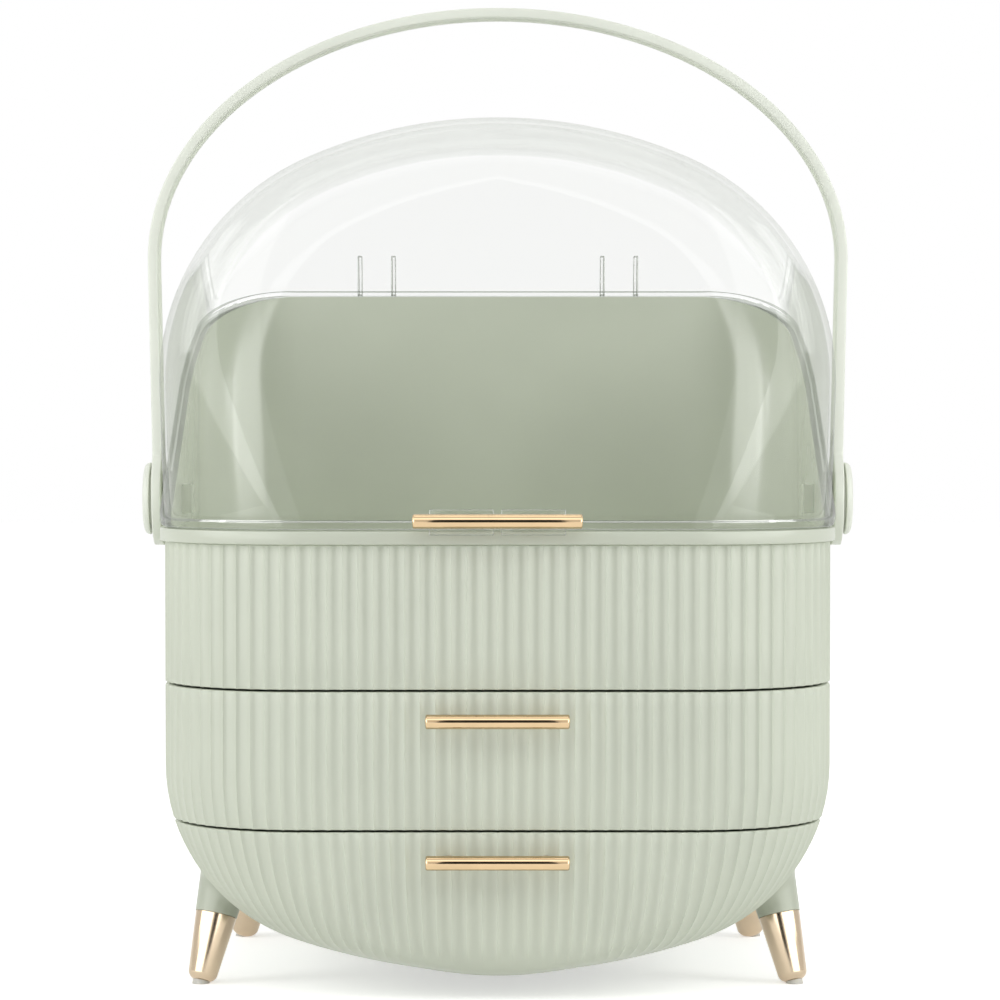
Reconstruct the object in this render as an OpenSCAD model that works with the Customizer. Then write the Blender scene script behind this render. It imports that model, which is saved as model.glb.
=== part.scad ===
// Dustproof makeup organizer: a fluted bowl on four legs with two drawers, an open tub above
// them, a rear hood, a clear hinged lid and a swinging carry handle.
// +X is to the right, +Y to the back, +Z up; the origin is on the floor under the middle.

/* [Body] */
// Width of the fluted body over its crests
body_w = 283; // [260:1:310]
// Depth of the body, front face to back face
body_d = 235; // [215:1:260]
// Height of the lowest point of the bowl above the floor
belly_z = 9.3; // [8:0.1:14]
// Radius of the shallow arc under the bowl
belly_r = 300; // [280:5:340]
// Radius of the bowl's lower side curve
bowl_side_r = 75; // [68:1:80]
// Plan radius of the two front corners
front_corner_r = 58; // [50:1:64]
// Plan radius of the two rear corners
rear_corner_r = 38; // [30:1:46]
// Radius of the rounding where the front and back run under the bowl
belly_edge_r = 15; // [10:1:20]
// Wall of the housing and of the drawer fronts
shell_wall = 3; // [2.4:0.1:3.6]
// Depth from the front face to the side joint between drawers and housing
parting_depth = 56; // [50:1:60]

/* [Heights] */
// Joint between the lower and the upper drawer
lower_seam_z = 70.9; // [66:0.5:76]
// Joint between the upper drawer and the tub
upper_seam_z = 128.8; // [122:0.5:134]
// Top of the fluted tub band, where the rim ring sits
tub_top_z = 189; // [182:0.5:196]
// Height of the smooth rim ring
ring_h = 5.7; // [5:0.1:8]
// Highest point of the clear dome
dome_top_z = 365.2; // [355:0.5:375]

/* [Flutes] */
// Depth of the valleys between the crests
flute_depth = 0.8; // [0.5:0.1:1]
// Flutes on each half of the front, from the middle to the side joint
front_flutes = 27; // [22:1:30]
// Flutes on each half of the housing, from the side joint to the middle of the back
rear_flutes = 47; // [40:1:50]

/* [Clearances] */
// Gap left at each seam
seam_gap = 0.9; // [0.6:0.1:1.2]
// Gap between pieces that sit on or slide over each other
seat_gap = 0.3; // [0.2:0.05:0.4]
// Radial clearance of a pin in its bore
pin_play = 0.05; // [0.02:0.01:0.1]

/* [Lid and hood] */
// Radius of the dome's top arc
dome_top_r = 198; // [190:1:205]
// Radius of the dome's shoulders
dome_shoulder_r = 104.4; // [98:0.4:110]
// Rounding along the dome's front and back edges at the crest
dome_edge_r = 15; // [12:1:18]
// Wall of the clear lid and of the hood
dome_wall = 2.5; // [2:0.1:3]
// Depth at which the slanted joint between lid and hood leaves the rim ring
slant_start = 12; // [10:1:16]
// Rise of the slanted joint for each millimetre of depth
slant_rise = 0.459; // [0.42:0.003:0.48]
// How far the lid's edge lip and the rim ring stand proud of the wall
lip_out = 2; // [1.5:0.1:2.5]
// Height of the lid's edge lip
lip_h = 3.5; // [3:0.1:5]
// How far the lid hinge's axis lies below the slanted joint at the back
hinge_drop = 5; // [4.6:0.1:7]
// Distance of the hinge axis behind the back face
hinge_back = 6; // [5.5:0.1:7]
// Radius of the hinge pin
hinge_pin_r = 1.5; // [1.2:0.1:1.8]
// Radius of the hinge knuckles
knuckle_r = 4; // [3.6:0.1:4.5]
// Distance from the middle to the centre of each hinge
hinge_x = 57.2; // [50:0.2:64]
// Distance between the two ears of one hinge, centre to centre
ear_pitch = 15.8; // [14:0.2:18]
// Thickness of one clear hinge ear
ear_t = 2.2; // [1.8:0.1:2.6]
// How far an ear reaches up the lid's back above the joint
ear_rise = 19; // [12:0.5:24]
// Length of the hood's arm below the joint that carries a knuckle
knuckle_root = 14; // [11:0.5:18]

/* [Carry handle] */
// How far the handle's outside stands off the body's side at the ends of its arc
handle_stand = 11.9; // [11:0.1:16]
// How much narrower the handle is at its pivots, on each side
handle_taper = 2.2; // [1:0.1:3]
// Height of the handle's arc above its ends
handle_arc_h = 109.6; // [104:0.2:116]
// Highest point of the handle
handle_top_z = 420; // [408:1:432]
// Thickness of the handle band
handle_t = 4.2; // [3.6:0.1:5]
// Width of the handle band, front to back
handle_band = 20; // [16:0.5:24]
// Height of the handle's pivot above the rim ring
pivot_rise = 10.3; // [8:0.1:13]
// Radius of the handle's round end
handle_end_r = 20.5; // [18:0.5:22]
// Radius of the round cap outside the handle's pivot
cap_r = 15.9; // [14:0.1:17]
// Thickness of that cap
cap_t = 3.5; // [3:0.1:4.5]
// Rounding of the cap's outer edge
cap_round = 2.5; // [1:0.1:3]
// Radius of the pivot shaft
pivot_r = 4; // [3.5:0.1:4.5]
// Radius of the neck that holds the handle off the dome
neck_r = 12; // [10:0.5:13]
// Gap between the handle's round end and the cap's rim
cap_gap = 1; // [0.6:0.1:1.4]
// Size of the square clip on the inner end of the shaft
clip_size = 12.5; // [11:0.5:14]
// Thickness of that clip
clip_out = 4.4; // [4:0.1:5]

/* [Pull bars] */
// Diameter of the three metal pull bars
bar_d = 6; // [5:0.1:7]
// Length of the bar on the lid
lid_bar_len = 69.5; // [60:0.5:80]
// Length of each drawer bar
drawer_bar_len = 59; // [50:0.5:70]
// Distance from the front face to a bar's centre
bar_stand = 10; // [9:0.1:12]
// Height of the lid bar above the rim ring
lid_bar_rise = 4.2; // [3.6:0.1:6]
// Distance from each drawer's upper seam down to its bar
bar_drop = 11.8; // [10:0.1:16]
// Distance between the two posts of a drawer bar
post_pitch = 40; // [30:1:44]
// Radius of a drawer bar's posts
post_r = 2.2; // [2:0.1:2.6]
// Radius of the screws in the posts
screw_r = 1.5; // [1.2:0.1:1.6]
// Gap between the two clear blocks that hold the lid bar
block_gap = 3; // [2:0.5:6]
// Length of each clear block along the lid bar
block_len = 26.5; // [18:0.5:30]
// Height of each clear block
block_h = 10.6; // [9:0.1:12]
// How far the blocks reach in front of the lid bar's axis, less than its radius
block_wrap = 1.5; // [0.5:0.1:2]

/* [Tub] */
// Wall of the tub, measured behind the flutes' valleys
tub_wall = 2.6; // [2.2:0.1:3]
// Floor of the tub
tub_floor = 2.4; // [2:0.1:3]

/* [Drawers] */
// Wall and floor of a drawer tray
tray_wall = 2; // [1.6:0.1:2.4]
// How far the tray's rim stays below the drawer's upper seam
tray_rim_drop = 5; // [4:0.5:8]
// Thickness of the shelf between the drawers
shelf_t = 2.4; // [2:0.1:3]

/* [Legs] */
// Distance from the middle to a front foot
front_foot_x = 126.5; // [116:0.5:130]
// Depth of a front foot behind the front face
front_foot_depth = 54; // [50:1:58]
// Distance from the middle to a rear foot
rear_foot_x = 118; // [108:0.5:124]
// Depth of a rear foot behind the front face
rear_foot_depth = 197; // [188:1:204]
// Outward lean of a leg, in degrees
leg_lean = 12; // [8:0.5:14]
// Lean of a leg towards the front or the back, in degrees
leg_rake = 14; // [10:0.5:16]
// Height of the metal tip
tip_h = 30; // [24:1:34]
// Radius of the metal tip at its top
tip_top_r = 9; // [8:0.1:10]
// Radius of the metal tip at its bottom
tip_end_r = 6.35; // [5.5:0.1:7]
// Radius of the rubber pad under the tip
pad_r = 3.65; // [3:0.05:4]

/* [Hidden] */
sage = [0.76, 0.81, 0.74];
gold = [0.87, 0.72, 0.5];
clear = [0.92, 0.96, 0.94, 0.35];
rubber = [0.8, 0.8, 0.78];
steel = [0.75, 0.75, 0.75];
e = 0.01;
half_w = body_w / 2;
half_d = body_d / 2;
part_y = -half_d + parting_depth;

// The bowl's outline seen from the front: a shallow arc, a side curve and a straight side
side_x = half_w - bowl_side_r;
belly_c = belly_z + belly_r;
side_z = belly_c - sqrt(pow(belly_r - bowl_side_r, 2) - side_x * side_x);
tangent = (belly_c - side_z) / (belly_r - bowl_side_r);

// Heights at which the bowl's curve is drawn; every piece shares them, so that all of them nest
bowl_marks = [12.5, 16, 21, 28, 38, 50, 64, 78, side_z];

// Half width of the bowl's true curve at height z, inset by k
function bowl_curve(z, k = 0) =
    z >= side_z ? half_w - k :
    z > belly_c - tangent * (belly_r - k) ? side_x + sqrt(max(0, pow(bowl_side_r - k, 2) - pow(side_z - z, 2))) :
    sqrt(max(0, pow(belly_r - k, 2) - pow(belly_c - z, 2)));
// The same, drawn straight between the marks
function bowl_w(z, k = 0, i = 0) =
    z >= side_z ? half_w - k :
    z < bowl_marks[0] ? bowl_curve(z, k) :
    z > bowl_marks[i + 1] ? bowl_w(z, k, i + 1) :
    let (z0 = bowl_marks[i], z1 = bowl_marks[i + 1], t = (z - z0) / (z1 - z0))
    bowl_curve(z0, k) * (1 - t) + bowl_curve(z1, k) * t;

// How far the front or the back has run in at height z, where it rounds under the bowl
function belly_in(z, k = 0) =
    let (d = z - belly_z - k, r = belly_edge_r - k)
    d >= r ? 0 : r - sqrt(max(0, r * r - pow(r - d, 2)));

// Plan radius of a corner at height z: a quarter of what the width has lost
function corner_at(z, r0, k = 0) =
    min(0.8 * bowl_w(z, k), max(belly_edge_r / 2, r0 - 0.25 * (half_w - bowl_w(z))) - k);

// Length of half a section, from its middle to a depth behind its face
function half_length(z, r0, depth, k = 0) =
    let (r = corner_at(z, r0, k), run = depth - k - belly_in(z, k), flat = bowl_w(z, k) - r)
    run >= r ? flat + r * PI / 2 + run - r : flat + r * acos(1 - run / r) * PI / 180;

// Point and outward direction at distance s from the middle of the face; the face looks to -Y
function face_point(z, s, r0, k = 0) =
    let (r = corner_at(z, r0, k), flat = bowl_w(z, k) - r, y0 = -half_d + k + belly_in(z, k),
        q = abs(s), a = min(90, max(0, (q - flat) / r * 180 / PI)), m = s < 0 ? -1 : 1,
        over = max(0, q - flat - r * PI / 2))
    [m * (min(q, flat) + r * sin(a)), y0 + r * (1 - cos(a)) + over, m * sin(a), -cos(a)];

// Depth of the flutes at height z: they fade out under the bowl
function flute_at(z) = flute_depth * min(1, max(0, (z - belly_z - 5) / 8));

// One section as a row of points: flutes > 0 gives a fluted row, else a plain row of n steps
// The flutes keep their pitch in the middle of the face and close up towards the side joint
function flute_pos(u, len, full) = let (g = min(1.8, full / len)) len * (g * u + (1 - g) * u * u);
function u_row(z, r0, depth, k, flutes, n, turn) =
    let (len = half_length(z, r0, depth, k), full = half_length(side_z, r0, depth, k),
        per = turn > 0 ? 3 : 2,
        steps = flutes > 0 ? per * flutes : n)
    [for (i = [-steps:steps])
        let (u = abs(i) / steps,
            s = (i < 0 ? -1 : 1) * (flutes > 0 ? flute_pos(u, len, full) : plain_pos(z, r0, depth, k, abs(i), n)),
            p = face_point(z, s, r0, k),
            cut = flutes > 0 && i % per != 0 ? flute_at(z) : 0)
        [turn * (p[0] - p[2] * cut), turn * (p[1] - p[3] * cut), z]];

// Plain rows put their points at even turns of the corner, so that nested walls stay parallel
function plain_pos(z, r0, depth, k, i, n) =
    let (r = corner_at(z, r0, k), flat = bowl_w(z, k) - r, len = half_length(z, r0, depth, k),
        turn = r * PI / 2 / (n - 2), before = flat + turn * (n - 3))
    i == 0 ? 0 : i == n ? len : i < n - 1 ? flat + turn * (i - 1) :
    before + turn < len - 0.5 ? before + turn : (before + len) / 2;

// Triangles between rows of m points, wound so that the outside faces out
function grid_faces(rows, m, base = 0, flip = false) =
    [for (j = [0:rows - 2], i = [0:m - 2])
        let (a = base + j * m + i, b = a + 1, c = a + m, d = c + 1)
        each flip ? [[a, b, c], [b, d, c]] : [[a, c, b], [b, c, d]]];
function flatten(rows) = [for (r = rows) each r];
function span(a, b) = a <= b ? [for (i = [a:b]) i] : [for (i = [a:-1:b]) i];

// How far along a line of points each of them is, as a share of its length
function shares(line) =
    let (run = [for (i = 0, t = 0; i < len(line);
            t = t + (i + 1 < len(line) ? norm(line[i + 1] - line[i]) : 0), i = i + 1) t])
    run / run[len(run) - 1];
function nearest(share, list) =
    let (off = [for (x = list) abs(x - share)], least = min(off)) [for (j = [0:len(off) - 1]) if (off[j] == least) j][0];
// Triangles between two lines of points, given by their numbers p and q in the list of points
function zip_faces(p, q, points) =
    let (at_p = shares([for (i = p) points[i]]), at_q = shares([for (i = q) points[i]]),
        pair = [for (x = at_p) nearest(x, at_q)])
    [for (i = [0:len(p) - 2])
        each concat([[p[i], q[pair[i]], p[i + 1]]],
            [for (j = [pair[i]:1:pair[i + 1] - 1]) [q[j], q[j + 1], p[i + 1]]])];
function turned(v) = [for (i = [len(v) - 1:-1:0]) v[i]];
// Triangles from a middle point to each side of a closed line of points
function fan_faces(line, middle) = [for (i = [0:len(line) - 1]) [middle, line[i], line[(i + 1) % len(line)]]];
function mean(points) = [for (axis = [0:2]) let (v = [for (p = points) p[axis]]) (min(v) + max(v)) / 2];

// A wall between an outer and an inner set of rows that run round three sides; the rows end on
// one flat plane, and the lowest rows close into a floor when floor is true
module u_shell(outer, inner, floor) {
    m = len(outer[0]);
    n = len(inner[0]);
    no = len(outer);
    ni = len(inner);
    b = no * m;
    out_l = [for (j = [0:no - 1]) j * m];
    out_r = [for (j = [0:no - 1]) j * m + m - 1];
    in_l = [for (j = [0:ni - 1]) b + j * n];
    in_r = [for (j = [0:ni - 1]) b + j * n + n - 1];
    points = flatten(concat(outer, inner));
    top = zip_faces(span((no - 1) * m, no * m - 1), span(b + (ni - 1) * n, b + ni * n - 1), points);
    low = zip_faces(turned(span(0, m - 1)), turned(span(b, b + n - 1)), points);
    ends = concat(zip_faces(out_l, in_l, points), zip_faces(turned(out_r), turned(in_r), points));
    middles = [mean(outer[0]), mean(inner[0])];
    mid = b + ni * n;
    caps = floor ? concat(fan_faces(span(0, m - 1), mid), fan_faces(span(b + n - 1, b), mid + 1),
        [[0, b + n - 1, b], [0, m - 1, b + n - 1]]) : low;
    polyhedron(concat(points, floor ? middles : []),
        concat(grid_faces(no, m, 0), grid_faces(ni, n, b, true), top, ends, caps), 4);
}

// Heights of the rows between two levels, closer where the bowl curves
function levels(lo, hi, marks) = concat([lo], [for (z = marks) if (z > lo + 1 && z < hi - 1) z], [hi]);

// Front-facing outline of the bowl, inset by k, up to height hi
module bowl_outline(k, hi) {
    zs = concat([for (i = [len(bowl_marks) - 1:-1:0]) if (bowl_marks[i] > belly_z + k) bowl_marks[i]], [belly_z + k]);
    right = concat([[half_w - k, hi]], [for (z = zs) [bowl_w(z, k), z]]);
    polygon(concat(right, [for (i = [len(right) - 2:-1:0]) [-right[i][0], right[i][1]]]));
}
// The same outline run from front to back
module bowl_bar(k, hi, y0, y1) {
    translate([0, y1, 0]) rotate([90, 0, 0]) linear_extrude(y1 - y0) bowl_outline(k, hi);
}

// Plan outline of the body above the bowl, inset by k
function plan_points(k, n = 10) = concat(
    u_row(side_z, front_corner_r, parting_depth, k, 0, n, 1),
    u_row(side_z, rear_corner_r, body_d - parting_depth, k, 0, n, -1));
function fluted_points() = concat(
    u_row(side_z, front_corner_r, parting_depth, 0, front_flutes, 0, 1),
    u_row(side_z, rear_corner_r, body_d - parting_depth, 0, rear_flutes, 0, -1));
function no_doubles(p) = [for (i = [0:len(p) - 1]) if (norm(p[i] - p[(i + 1) % len(p)]) > 0.05) p[i]];
function flat_xy(p) = [for (q = p) [q[0], q[1]]];

tub_low = upper_seam_z + seam_gap / 2;
ring_top = tub_top_z + ring_h;
pivot_z = ring_top + pivot_rise;

module tub() {
    color(sage) difference() {
        translate([0, 0, tub_low]) linear_extrude(tub_top_z - tub_low)
            polygon(no_doubles(flat_xy(fluted_points())));
        translate([0, 0, tub_low + tub_floor]) linear_extrude(tub_top_z)
            polygon(no_doubles(flat_xy(plan_points(tub_wall + flute_depth))));
    }
}

// ---- Dome surface shared by the lid and the hood ----
shoulder_x = half_w - dome_shoulder_r;
dome_c = dome_top_z - dome_top_r;
shoulder_z = dome_c + sqrt(pow(dome_top_r - dome_shoulder_r, 2) - shoulder_x * shoulder_x);
shoulder_a = acos(shoulder_x / (dome_top_r - dome_shoulder_r));
s_side = shoulder_z - ring_top;
s_shoulder = s_side + dome_shoulder_r * shoulder_a * PI / 180;
s_top = s_shoulder + dome_top_r * (90 - shoulder_a) * PI / 180;

// Lean of the dome's skin at length s up its outline: 0 is upright, 90 is flat
function skin_a(s) = s < s_side ? 0 :
    s < s_shoulder ? (s - s_side) / dome_shoulder_r * 180 / PI :
    shoulder_a + (s - s_shoulder) / dome_top_r * 180 / PI;
// Outline point [x, z] at length s, inset by k
function skin_p(s, k) = let (a = skin_a(s))
    s < s_side ? [half_w - k, ring_top + s] :
    s < s_shoulder ? [shoulder_x + (dome_shoulder_r - k) * cos(a), shoulder_z + (dome_shoulder_r - k) * sin(a)] :
    [(dome_top_r - k) * cos(a), dome_c + (dome_top_r - k) * sin(a)];
// Edge rounding at length s: wide at the ring, narrow at the crest
function edge_r(s, r0) = let (z = skin_p(s, 0)[1])
    dome_edge_r + (r0 - dome_edge_r) * pow(max(0, (dome_top_z - z) / (dome_top_z - ring_top)), 2.2);
// Point of the dome at length s in column c: 0..1 rear rounding, 1..2 straight, 2..3 front rounding
function dome_p(s, c, k) =
    let (a = skin_a(s), p = skin_p(s, k), rf = edge_r(s, front_corner_r) - k,
        rr = edge_r(s, rear_corner_r) - k, y_r = half_d - k - rr, y_f = -(half_d - k - rf),
        phi = c < 1 ? 90 * (1 - c) : c > 2 ? 90 * (c - 2) : 0, r = c < 1 ? rr : rf,
        back = c >= 1 && c <= 2 ? 0 : r * (1 - cos(phi)))
    [p[0] - cos(a) * back,
        c < 1 ? y_r + r * sin(phi) : c > 2 ? y_f - r * sin(phi) : y_r + (y_f - y_r) * (c - 1),
        p[1] - sin(a) * back];
// Height of the slanted joint at a depth y
function slant_z(y) = ring_top + max(0, slant_rise * (y + half_d - slant_start));
// Length up the outline at which column c meets the slanted joint
function slant_s(c, k, lo = 0, hi = -1, i = 0) =
    let (top = hi < 0 ? s_shoulder : hi, mid = (lo + top) / 2, p = dome_p(mid, c, k))
    i > 24 ? mid : p[2] < slant_z(p[1]) ? slant_s(c, k, mid, top, i + 1) : slant_s(c, k, lo, mid, i + 1);

lid_cols = concat([for (i = [0:5]) i / 5], [1.25, 1.5, 1.75], [for (i = [0:7]) 2 + i / 7]);
lid_steps = 15;
lid_gap = seat_gap + 0.1;

// One column of the lid from its right edge over the crest to its left edge
function over_crest(right) = concat(right, [for (i = [len(right) - 2:-1:0]) [-right[i][0], right[i][1], right[i][2]]]);
function lid_start(c) = slant_s(c, 0) + lid_gap;
function lid_outer(c) = let (s0 = lid_start(c), s1 = s0 + lip_h)
    over_crest(concat([dome_p(s0, c, -lip_out), dome_p(s1, c, -lip_out)],
        [for (i = [0:lid_steps]) dome_p(s1 + (s_top - s1) * i / lid_steps, c, 0)]));
function lid_inner(c) = let (s0 = lid_start(c))
    over_crest([for (i = [0:lid_steps]) dome_p(s0 + (s_top - s0) * i / lid_steps, c, dome_wall)]);

module lid_shell() {
    out = [for (c = lid_cols) lid_outer(c)];
    inn = [for (c = lid_cols) lid_inner(c)];
    m = len(out[0]);
    n = len(inn[0]);
    cols = len(lid_cols);
    b = cols * m;
    last = (cols - 1) * m;
    last_in = b + (cols - 1) * n;
    rim = [for (j = [0:cols - 2])
        let (o = j * m, p = o + m, q = b + j * n, r = q + n)
        each [[o, q, p], [p, q, r], [o + m - 1, p + m - 1, q + n - 1], [p + m - 1, r + n - 1, q + n - 1]]];
    polyhedron(flatten(concat(out, inn)), concat(
        grid_faces(cols, m, 0, false), grid_faces(cols, n, b, true), rim,
        [[last, last + m - 1, last + m - 2, last + 1], [last + 1, last + m - 2, last + m - 3, last + 2],
            span(last + m - 3, last + 2)],
        [[0, 1, m - 2, m - 1], [1, 2, m - 3, m - 2], span(2, m - 3)],
        [span(last_in, last_in + n - 1)], [span(b + n - 1, b)],
        [[last, last_in, last_in + n - 1, last + m - 1], [0, m - 1, b + n - 1, b]]), 4);
}

hinge_y = half_d + hinge_back;
joint_back_z = slant_z(half_d);
hinge_z = joint_back_z - hinge_drop;
ear_r = knuckle_r + 0.5;
knuckle_len = ear_pitch - ear_t - 2 * seat_gap;

// A round bar along X, centred on x
module x_bar(x, y, z, r, length) {
    translate([x - length / 2, y, z]) rotate([0, 90, 0]) cylinder(r = r, h = length, $fn = 48);
}

// Side view of one ear, [y, z]: a tab on the lid's back that reaches down behind the hood
module ear_plate() {
    foot_z = joint_back_z + lid_gap;
    translate([hinge_y, hinge_z]) circle(r = ear_r, $fn = 48);
    translate([hinge_y - ear_r, hinge_z]) square([2 * ear_r, foot_z + 1 - hinge_z]);
    hull() {
        translate([half_d - dome_wall / 2, foot_z]) square([hinge_y + ear_r - half_d + dome_wall / 2, 1]);
        translate([half_d + ear_r / 2, foot_z + ear_rise - ear_r / 2]) circle(r = ear_r / 2, $fn = 32);
        translate([half_d - dome_wall / 2, foot_z + ear_rise - ear_r]) square([1, ear_r]);
    }
}

module clear_lid() {
    color(clear) difference() {
        union() {
            lid_shell();
            for (side = [-1, 1], ear = [-1, 1])
                translate([side * hinge_x + ear * ear_pitch / 2 - ear_t / 2, 0, 0])
                    rotate([90, 0, 90]) linear_extrude(ear_t) ear_plate();
        }
        for (side = [-1, 1])
            x_bar(side * hinge_x, hinge_y, hinge_z, hinge_pin_r + pin_play, ear_pitch + 2 * ear_t);
    }
}

// ---- Hood ----
// Column of the front rounding at which the hood has this much depth behind the body's face
function tip_col(depth, lo = 2, hi = 3, i = 0) = let (mid = (lo + hi) / 2)
    i > 24 ? mid : dome_p(0, mid, 0)[1] + half_d > depth ? tip_col(depth, mid, hi, i + 1) : tip_col(depth, lo, mid, i + 1);
hood_tip = tip_col(slant_start + 8);
hood_rows = 8;
function hood_row(j, k) =
    let (cols = concat([hood_tip], [for (i = [len(lid_cols) - 1:-1:0]) if (lid_cols[i] < hood_tip - 0.02) lid_cols[i]]),
        right = [for (c = cols) dome_p(-1 + (slant_s(c, 0) + 1) * j / hood_rows, c, k)])
    concat(right, [for (i = [len(right) - 1:-1:0]) [-right[i][0], right[i][1], right[i][2]]]);

// A wall between two equal sets of open rows, closed at the top, the bottom and both ends
module band_shell(outer, inner) {
    m = len(outer[0]);
    n = len(outer);
    b = n * m;
    function strip(p, q, r, s) = [[p, r, q], [q, r, s]];
    polyhedron(flatten(concat(outer, inner)), concat(
        grid_faces(n, m, 0), grid_faces(n, m, b, true),
        [for (i = [0:m - 2]) each strip(i, b + i, i + 1, b + i + 1)],
        [for (i = [0:m - 2]) let (t = (n - 1) * m + i) each strip(t, t + 1, b + t, b + t + 1)],
        [for (j = [0:n - 2]) let (p = j * m) each strip(p, p + m, b + p, b + p + m)],
        [for (j = [0:n - 2]) let (p = j * m + m - 1) each strip(p, b + p, p + m, b + p + m)]), 4);
}

handle_half_w = half_w + handle_stand;
handle_low_w = handle_half_w - handle_taper;
neck_out = handle_low_w - handle_t - seat_gap;
module side_bar(side, x0, x1, r) {
    translate([side > 0 ? x0 : -x1, 0, pivot_z]) rotate([0, 90, 0]) cylinder(r = r, h = x1 - x0, $fn = 64);
}

module rim_ring() {
    translate([0, 0, tub_top_z]) linear_extrude(ring_h) difference() {
        polygon(no_doubles(flat_xy(plan_points(-lip_out))));
        polygon(no_doubles(flat_xy(plan_points(dome_wall))));
    }
}

module hood_knuckles() {
    arm_y = half_d - dome_wall / 2;
    root_z = joint_back_z - knuckle_root;
    for (side = [-1, 1]) {
        x_bar(side * hinge_x, hinge_y, hinge_z, knuckle_r, knuckle_len);
        translate([side * hinge_x - knuckle_len / 2, arm_y, root_z])
            cube([knuckle_len, hinge_y + knuckle_r - arm_y, hinge_z - root_z]);
    }
}

module rear_hood() {
    color(sage) difference() {
        union() {
            rim_ring();
            band_shell([for (j = [0:hood_rows]) hood_row(j, 0)], [for (j = [0:hood_rows]) hood_row(j, dome_wall)]);
            hood_knuckles();
            for (side = [-1, 1]) side_bar(side, half_w - dome_wall / 2, neck_out, neck_r);
        }
        for (side = [-1, 1]) {
            side_bar(side, half_w - 2 * dome_wall, neck_out + 1, pivot_r + pin_play);
            x_bar(side * hinge_x, hinge_y, hinge_z, hinge_pin_r + pin_play, ear_pitch + 2 * ear_t);
        }
    }
}

module hinge_pins() {
    color(steel) for (side = [-1, 1])
        x_bar(side * hinge_x, hinge_y, hinge_z, hinge_pin_r, ear_pitch + ear_t + 0.6);
}

// ---- Housing and drawers ----
house_depth = body_d - parting_depth - seam_gap;
house_top = upper_seam_z - seam_gap / 2;

module housing() {
    low = belly_z + 1;
    in_low = belly_z + shell_wall + 1;
    color(sage) u_shell(
        [for (z = levels(low, house_top, bowl_marks)) u_row(z, rear_corner_r, house_depth, 0, rear_flutes, 0, -1)],
        [for (z = levels(in_low, house_top, bowl_marks)) u_row(z, rear_corner_r, house_depth, shell_wall, 0, 9, -1)],
        true);
}

shelf_low = lower_seam_z - shelf_t / 2;
module drawer_shelf() {
    color(sage) translate([0, 0, shelf_low]) linear_extrude(shelf_t)
        polygon(no_doubles(flat_xy(u_row(shelf_low, rear_corner_r, house_depth - 1, shell_wall + 0.1, 0, 9, -1))));
}

// Screw places on the bars' posts
module at_posts(z) {
    for (side = [-1, 1]) translate([side * post_pitch / 2, 0, z]) children();
}
module drawer_front(lo, hi, floor, bar_z) {
    inner_lo = floor ? lo + shell_wall : lo;
    color(sage) difference() {
        u_shell(
            [for (z = levels(lo, hi, bowl_marks)) u_row(z, front_corner_r, parting_depth, 0, front_flutes, 0, 1)],
            [for (z = levels(inner_lo, hi, bowl_marks)) u_row(z, front_corner_r, parting_depth, shell_wall, 0, 9, 1)],
            floor);
        at_posts(bar_z) translate([0, -half_d + shell_wall + 1, 0]) rotate([90, 0, 0])
            cylinder(r = screw_r + pin_play, h = shell_wall + 2, $fn = 32);
    }
}
upper_lo = lower_seam_z + seam_gap / 2;
upper_hi = upper_seam_z - seam_gap / 2;
lower_lo = belly_z + 1;
lower_hi = lower_seam_z - seam_gap / 2;
upper_bar_z = upper_seam_z - bar_drop;
lower_bar_z = lower_seam_z - bar_drop;
module upper_drawer_front() drawer_front(upper_lo, upper_hi, false, upper_bar_z);
module lower_drawer_front() drawer_front(lower_lo, lower_hi, true, lower_bar_z);

// An open box between outer and inner rows that run round three sides, with a flat back and floor
module tray_shell(outer, inner) {
    m = len(outer[0]);
    n = len(outer);
    b = n * m;
    t = (n - 1) * m;
    function ends(o, last) = [for (j = [0:n - 1]) o + j * m + last];
    function back_line(rows) = concat([for (r = rows) r[0]], [for (r = rows) r[m - 1]]);
    mid = 2 * b;
    polyhedron(concat(flatten(concat(outer, inner)),
        [mean(outer[0]), mean(inner[0]), mean(back_line(outer)), mean(back_line(inner))]), concat(
        grid_faces(n, m, 0), grid_faces(n, m, b, true),
        fan_faces(concat(turned(ends(0, 0)), ends(0, m - 1)), mid + 2),
        fan_faces(concat(ends(b, 0), turned(ends(b, m - 1))), mid + 3),
        fan_faces(span(0, m - 1), mid), fan_faces(span(b + m - 1, b), mid + 1),
        [for (i = [0:m - 2]) each [[t + i, b + t + i, t + i + 1], [t + i + 1, b + t + i, b + t + i + 1]]],
        [[t, t + m - 1, b + t + m - 1, b + t]]), 4);
}

tray_k = shell_wall + seat_gap;
tray_depth = body_d - rear_corner_r;
module drawer_tray(lo, hi, bar_z) {
    n = 9;
    marks = levels(lo, hi, bowl_marks);
    rise = [for (i = [0:len(marks) - 1]) i == 0 ? marks[0] + tray_wall : marks[i] < lo + tray_wall + 1 ? lo + tray_wall + 0.5 * i : marks[i]];
    color(sage) difference() {
        tray_shell(
            [for (z = marks) u_row(z, front_corner_r, tray_depth, tray_k, 0, n, 1)],
            [for (z = rise) u_row(z, front_corner_r, tray_depth - tray_wall, tray_k + tray_wall, 0, n, 1)]);
        at_posts(bar_z) translate([0, -half_d + tray_k + tray_wall + 1, 0]) rotate([90, 0, 0])
            cylinder(r = screw_r + pin_play, h = tray_wall + 2, $fn = 32);
    }
}
module upper_drawer_tray() drawer_tray(shelf_low + shelf_t + seat_gap, upper_hi - tray_rim_drop, upper_bar_z);
module lower_drawer_tray() drawer_tray(belly_z + tray_k + 1, shelf_low - 1, lower_bar_z);

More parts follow.
